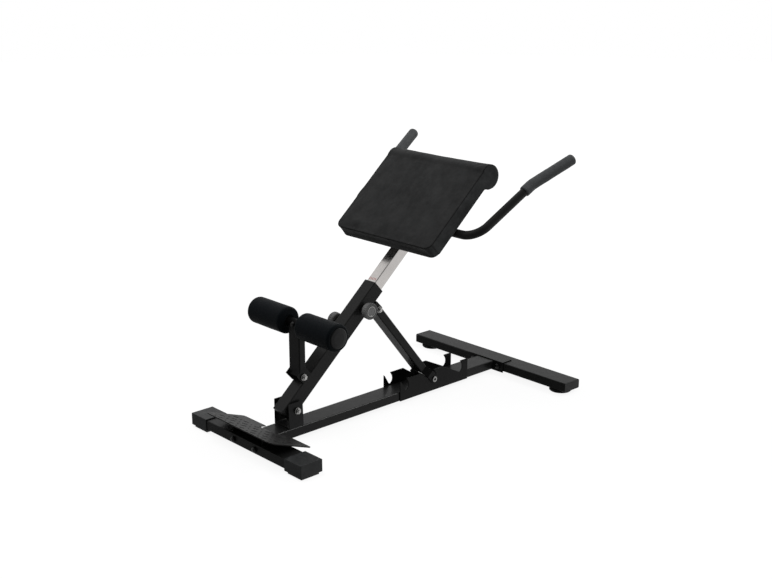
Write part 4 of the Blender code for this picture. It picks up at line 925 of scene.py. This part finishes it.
def glowing(nodes, links):
    """A glow that is white far out, and near the object a little less, with a matt share for its shadow."""
    place = nodes.new("ShaderNodeTexCoord")
    distance = nodes.new("ShaderNodeVectorMath")
    distance.operation = "LENGTH"
    links.new(place.outputs["Object"], distance.inputs[0])
    fade = nodes.new("ShaderNodeMapRange")
    fade.interpolation_type = "SMOOTHSTEP"
    set_inputs(fade, From_Min=FLOOR_FADE_START, From_Max=FLOOR_FADE_END, To_Min=FLOOR_GLOW, To_Max=1.0)
    links.new(distance.outputs["Value"], fade.inputs["Value"])
    glow = nodes.new("ShaderNodeEmission")
    links.new(fade.outputs["Result"], glow.inputs["Strength"])
    soft = nodes.new("ShaderNodeBsdfDiffuse")
    set_inputs(soft, Color=(FLOOR_SHADE, FLOOR_SHADE, FLOOR_SHADE, 1))
    both = nodes.new("ShaderNodeAddShader")
    links.new(glow.outputs[0], both.inputs[0])
    links.new(soft.outputs[0], both.inputs[1])
    return both


def make_floor():
    """A pale floor that reads white to the camera and keeps the object's soft shadow."""
    shape = bmesh.new()
    bmesh.ops.create_circle(shape, cap_ends=True, radius=FLOOR_RADIUS, segments=96)
    mesh = mesh_of(shape, "floor")
    floor = placed("floor", mesh)
    white = bpy.data.materials.new("floor_pale")
    mesh.materials.append(white)
    white.use_nodes = True
    nodes, links = white.node_tree.nodes, white.node_tree.links
    plain = nodes["Principled BSDF"]
    set_inputs(plain, Base_Color=(FLOOR_COLOUR, FLOOR_COLOUR, FLOOR_COLOUR, 1), Roughness=0.9,
               Specular_IOR_Level=0.0)
    direct = seen(nodes, links, "Is Camera Ray", "Is Glossy Ray", "Is Transmission Ray")
    mixed(nodes, links, direct, plain, glowing(nodes, links), "Material Output")
    floor.visible_glossy = False


def gradient(nodes, links, place, slope, low, high):
    """A level that changes along a direction, from one end's value to the other's."""
    along = nodes.new("ShaderNodeVectorMath")
    along.operation = "DOT_PRODUCT"
    along.inputs[1].default_value = slope
    links.new(place, along.inputs[0])
    level = nodes.new("ShaderNodeMapRange")
    set_inputs(level, From_Min=low[0], To_Min=low[1], From_Max=high[0], To_Max=high[1])
    links.new(along.outputs["Value"], level.inputs["Value"])
    return level.outputs["Result"]


def make_world():
    """White to the camera, soft to matt surfaces, and to gloss a studio with a dark flag on the near side."""
    world = bpy.data.worlds.new("studio")
    bpy.context.scene.world = world
    world.use_nodes = True
    nodes, links = world.node_tree.nodes, world.node_tree.links
    place = nodes.new("ShaderNodeTexCoord").outputs["Generated"]
    soft = gradient(nodes, links, place, *SOFT_LIGHT)
    behind = gradient(nodes, links, place, *BRIGHT_BEHIND)
    below = gradient(nodes, links, place, *BRIGHT_BELOW)
    flag = gradient(nodes, links, place, *DARK_FLAG)
    bright = combined(nodes, links, "MAXIMUM", behind, below)
    mirrored = combined(nodes, links, "MULTIPLY", bright, flag)
    strength = nodes.new("ShaderNodeMapRange")
    links.new(seen(nodes, links, "Is Glossy Ray"), strength.inputs["Value"])
    links.new(soft, strength.inputs["To Min"])
    links.new(mirrored, strength.inputs["To Max"])
    lit = nodes["Background"]
    set_inputs(lit, Color=(1, 1, 1, 1))
    links.new(strength.outputs["Result"], lit.inputs["Strength"])
    white = nodes.new("ShaderNodeBackground")
    set_inputs(white, Color=(1, 1, 1, 1))
    direct = seen(nodes, links, "Is Camera Ray", "Is Transmission Ray")
    mixed(nodes, links, direct, lit, white, "World Output")


def make_lamp(name, place, size, energy, mirrored):
    """A round soft lamp that points at the bench. mirrored says whether gloss shows it."""
    lamp = bpy.data.lights.new(name, "AREA")
    lamp.shape = "DISK"
    lamp.size = size
    lamp.energy = energy
    item = placed(name, lamp)
    item.location = place
    item.visible_glossy = mirrored
    item.rotation_euler = (LAMP_TARGET - Vector(place)).to_track_quat("-Z", "Y").to_euler()


def make_camera():
    """The photograph's view."""
    lens = bpy.data.cameras.new("photo")
    lens.lens = CAMERA_LENS
    lens.sensor_width = CAMERA_SENSOR
    lens.clip_end = CAMERA_REACH
    camera = placed("photo", lens)
    turn, rise = CAMERA_TURN, CAMERA_RISE
    back = Vector((math.sin(turn) * math.cos(rise), -math.cos(turn) * math.cos(rise), math.sin(rise)))
    right = Vector((math.cos(turn), math.sin(turn), 0))
    facing = Matrix((right, back.cross(right), back)).transposed().to_4x4()
    facing.translation = CAMERA_PLACE
    camera.matrix_world = facing
    bpy.context.scene.camera = camera


make_camera()
dress_solids()
make_pad()
make_rollers()
make_handles()
make_knobs()
make_pin_bore_shades()
make_marks()
make_floor()
make_world()
make_lamp("key", place=(1.9, -1.45, 2.7), size=1.1, energy=34, mirrored=True)
make_lamp("top", place=(-0.9, 0.6, 2.8), size=1.8, energy=36, mirrored=False)
bpy.context.scene.view_settings.view_transform = "Standard"
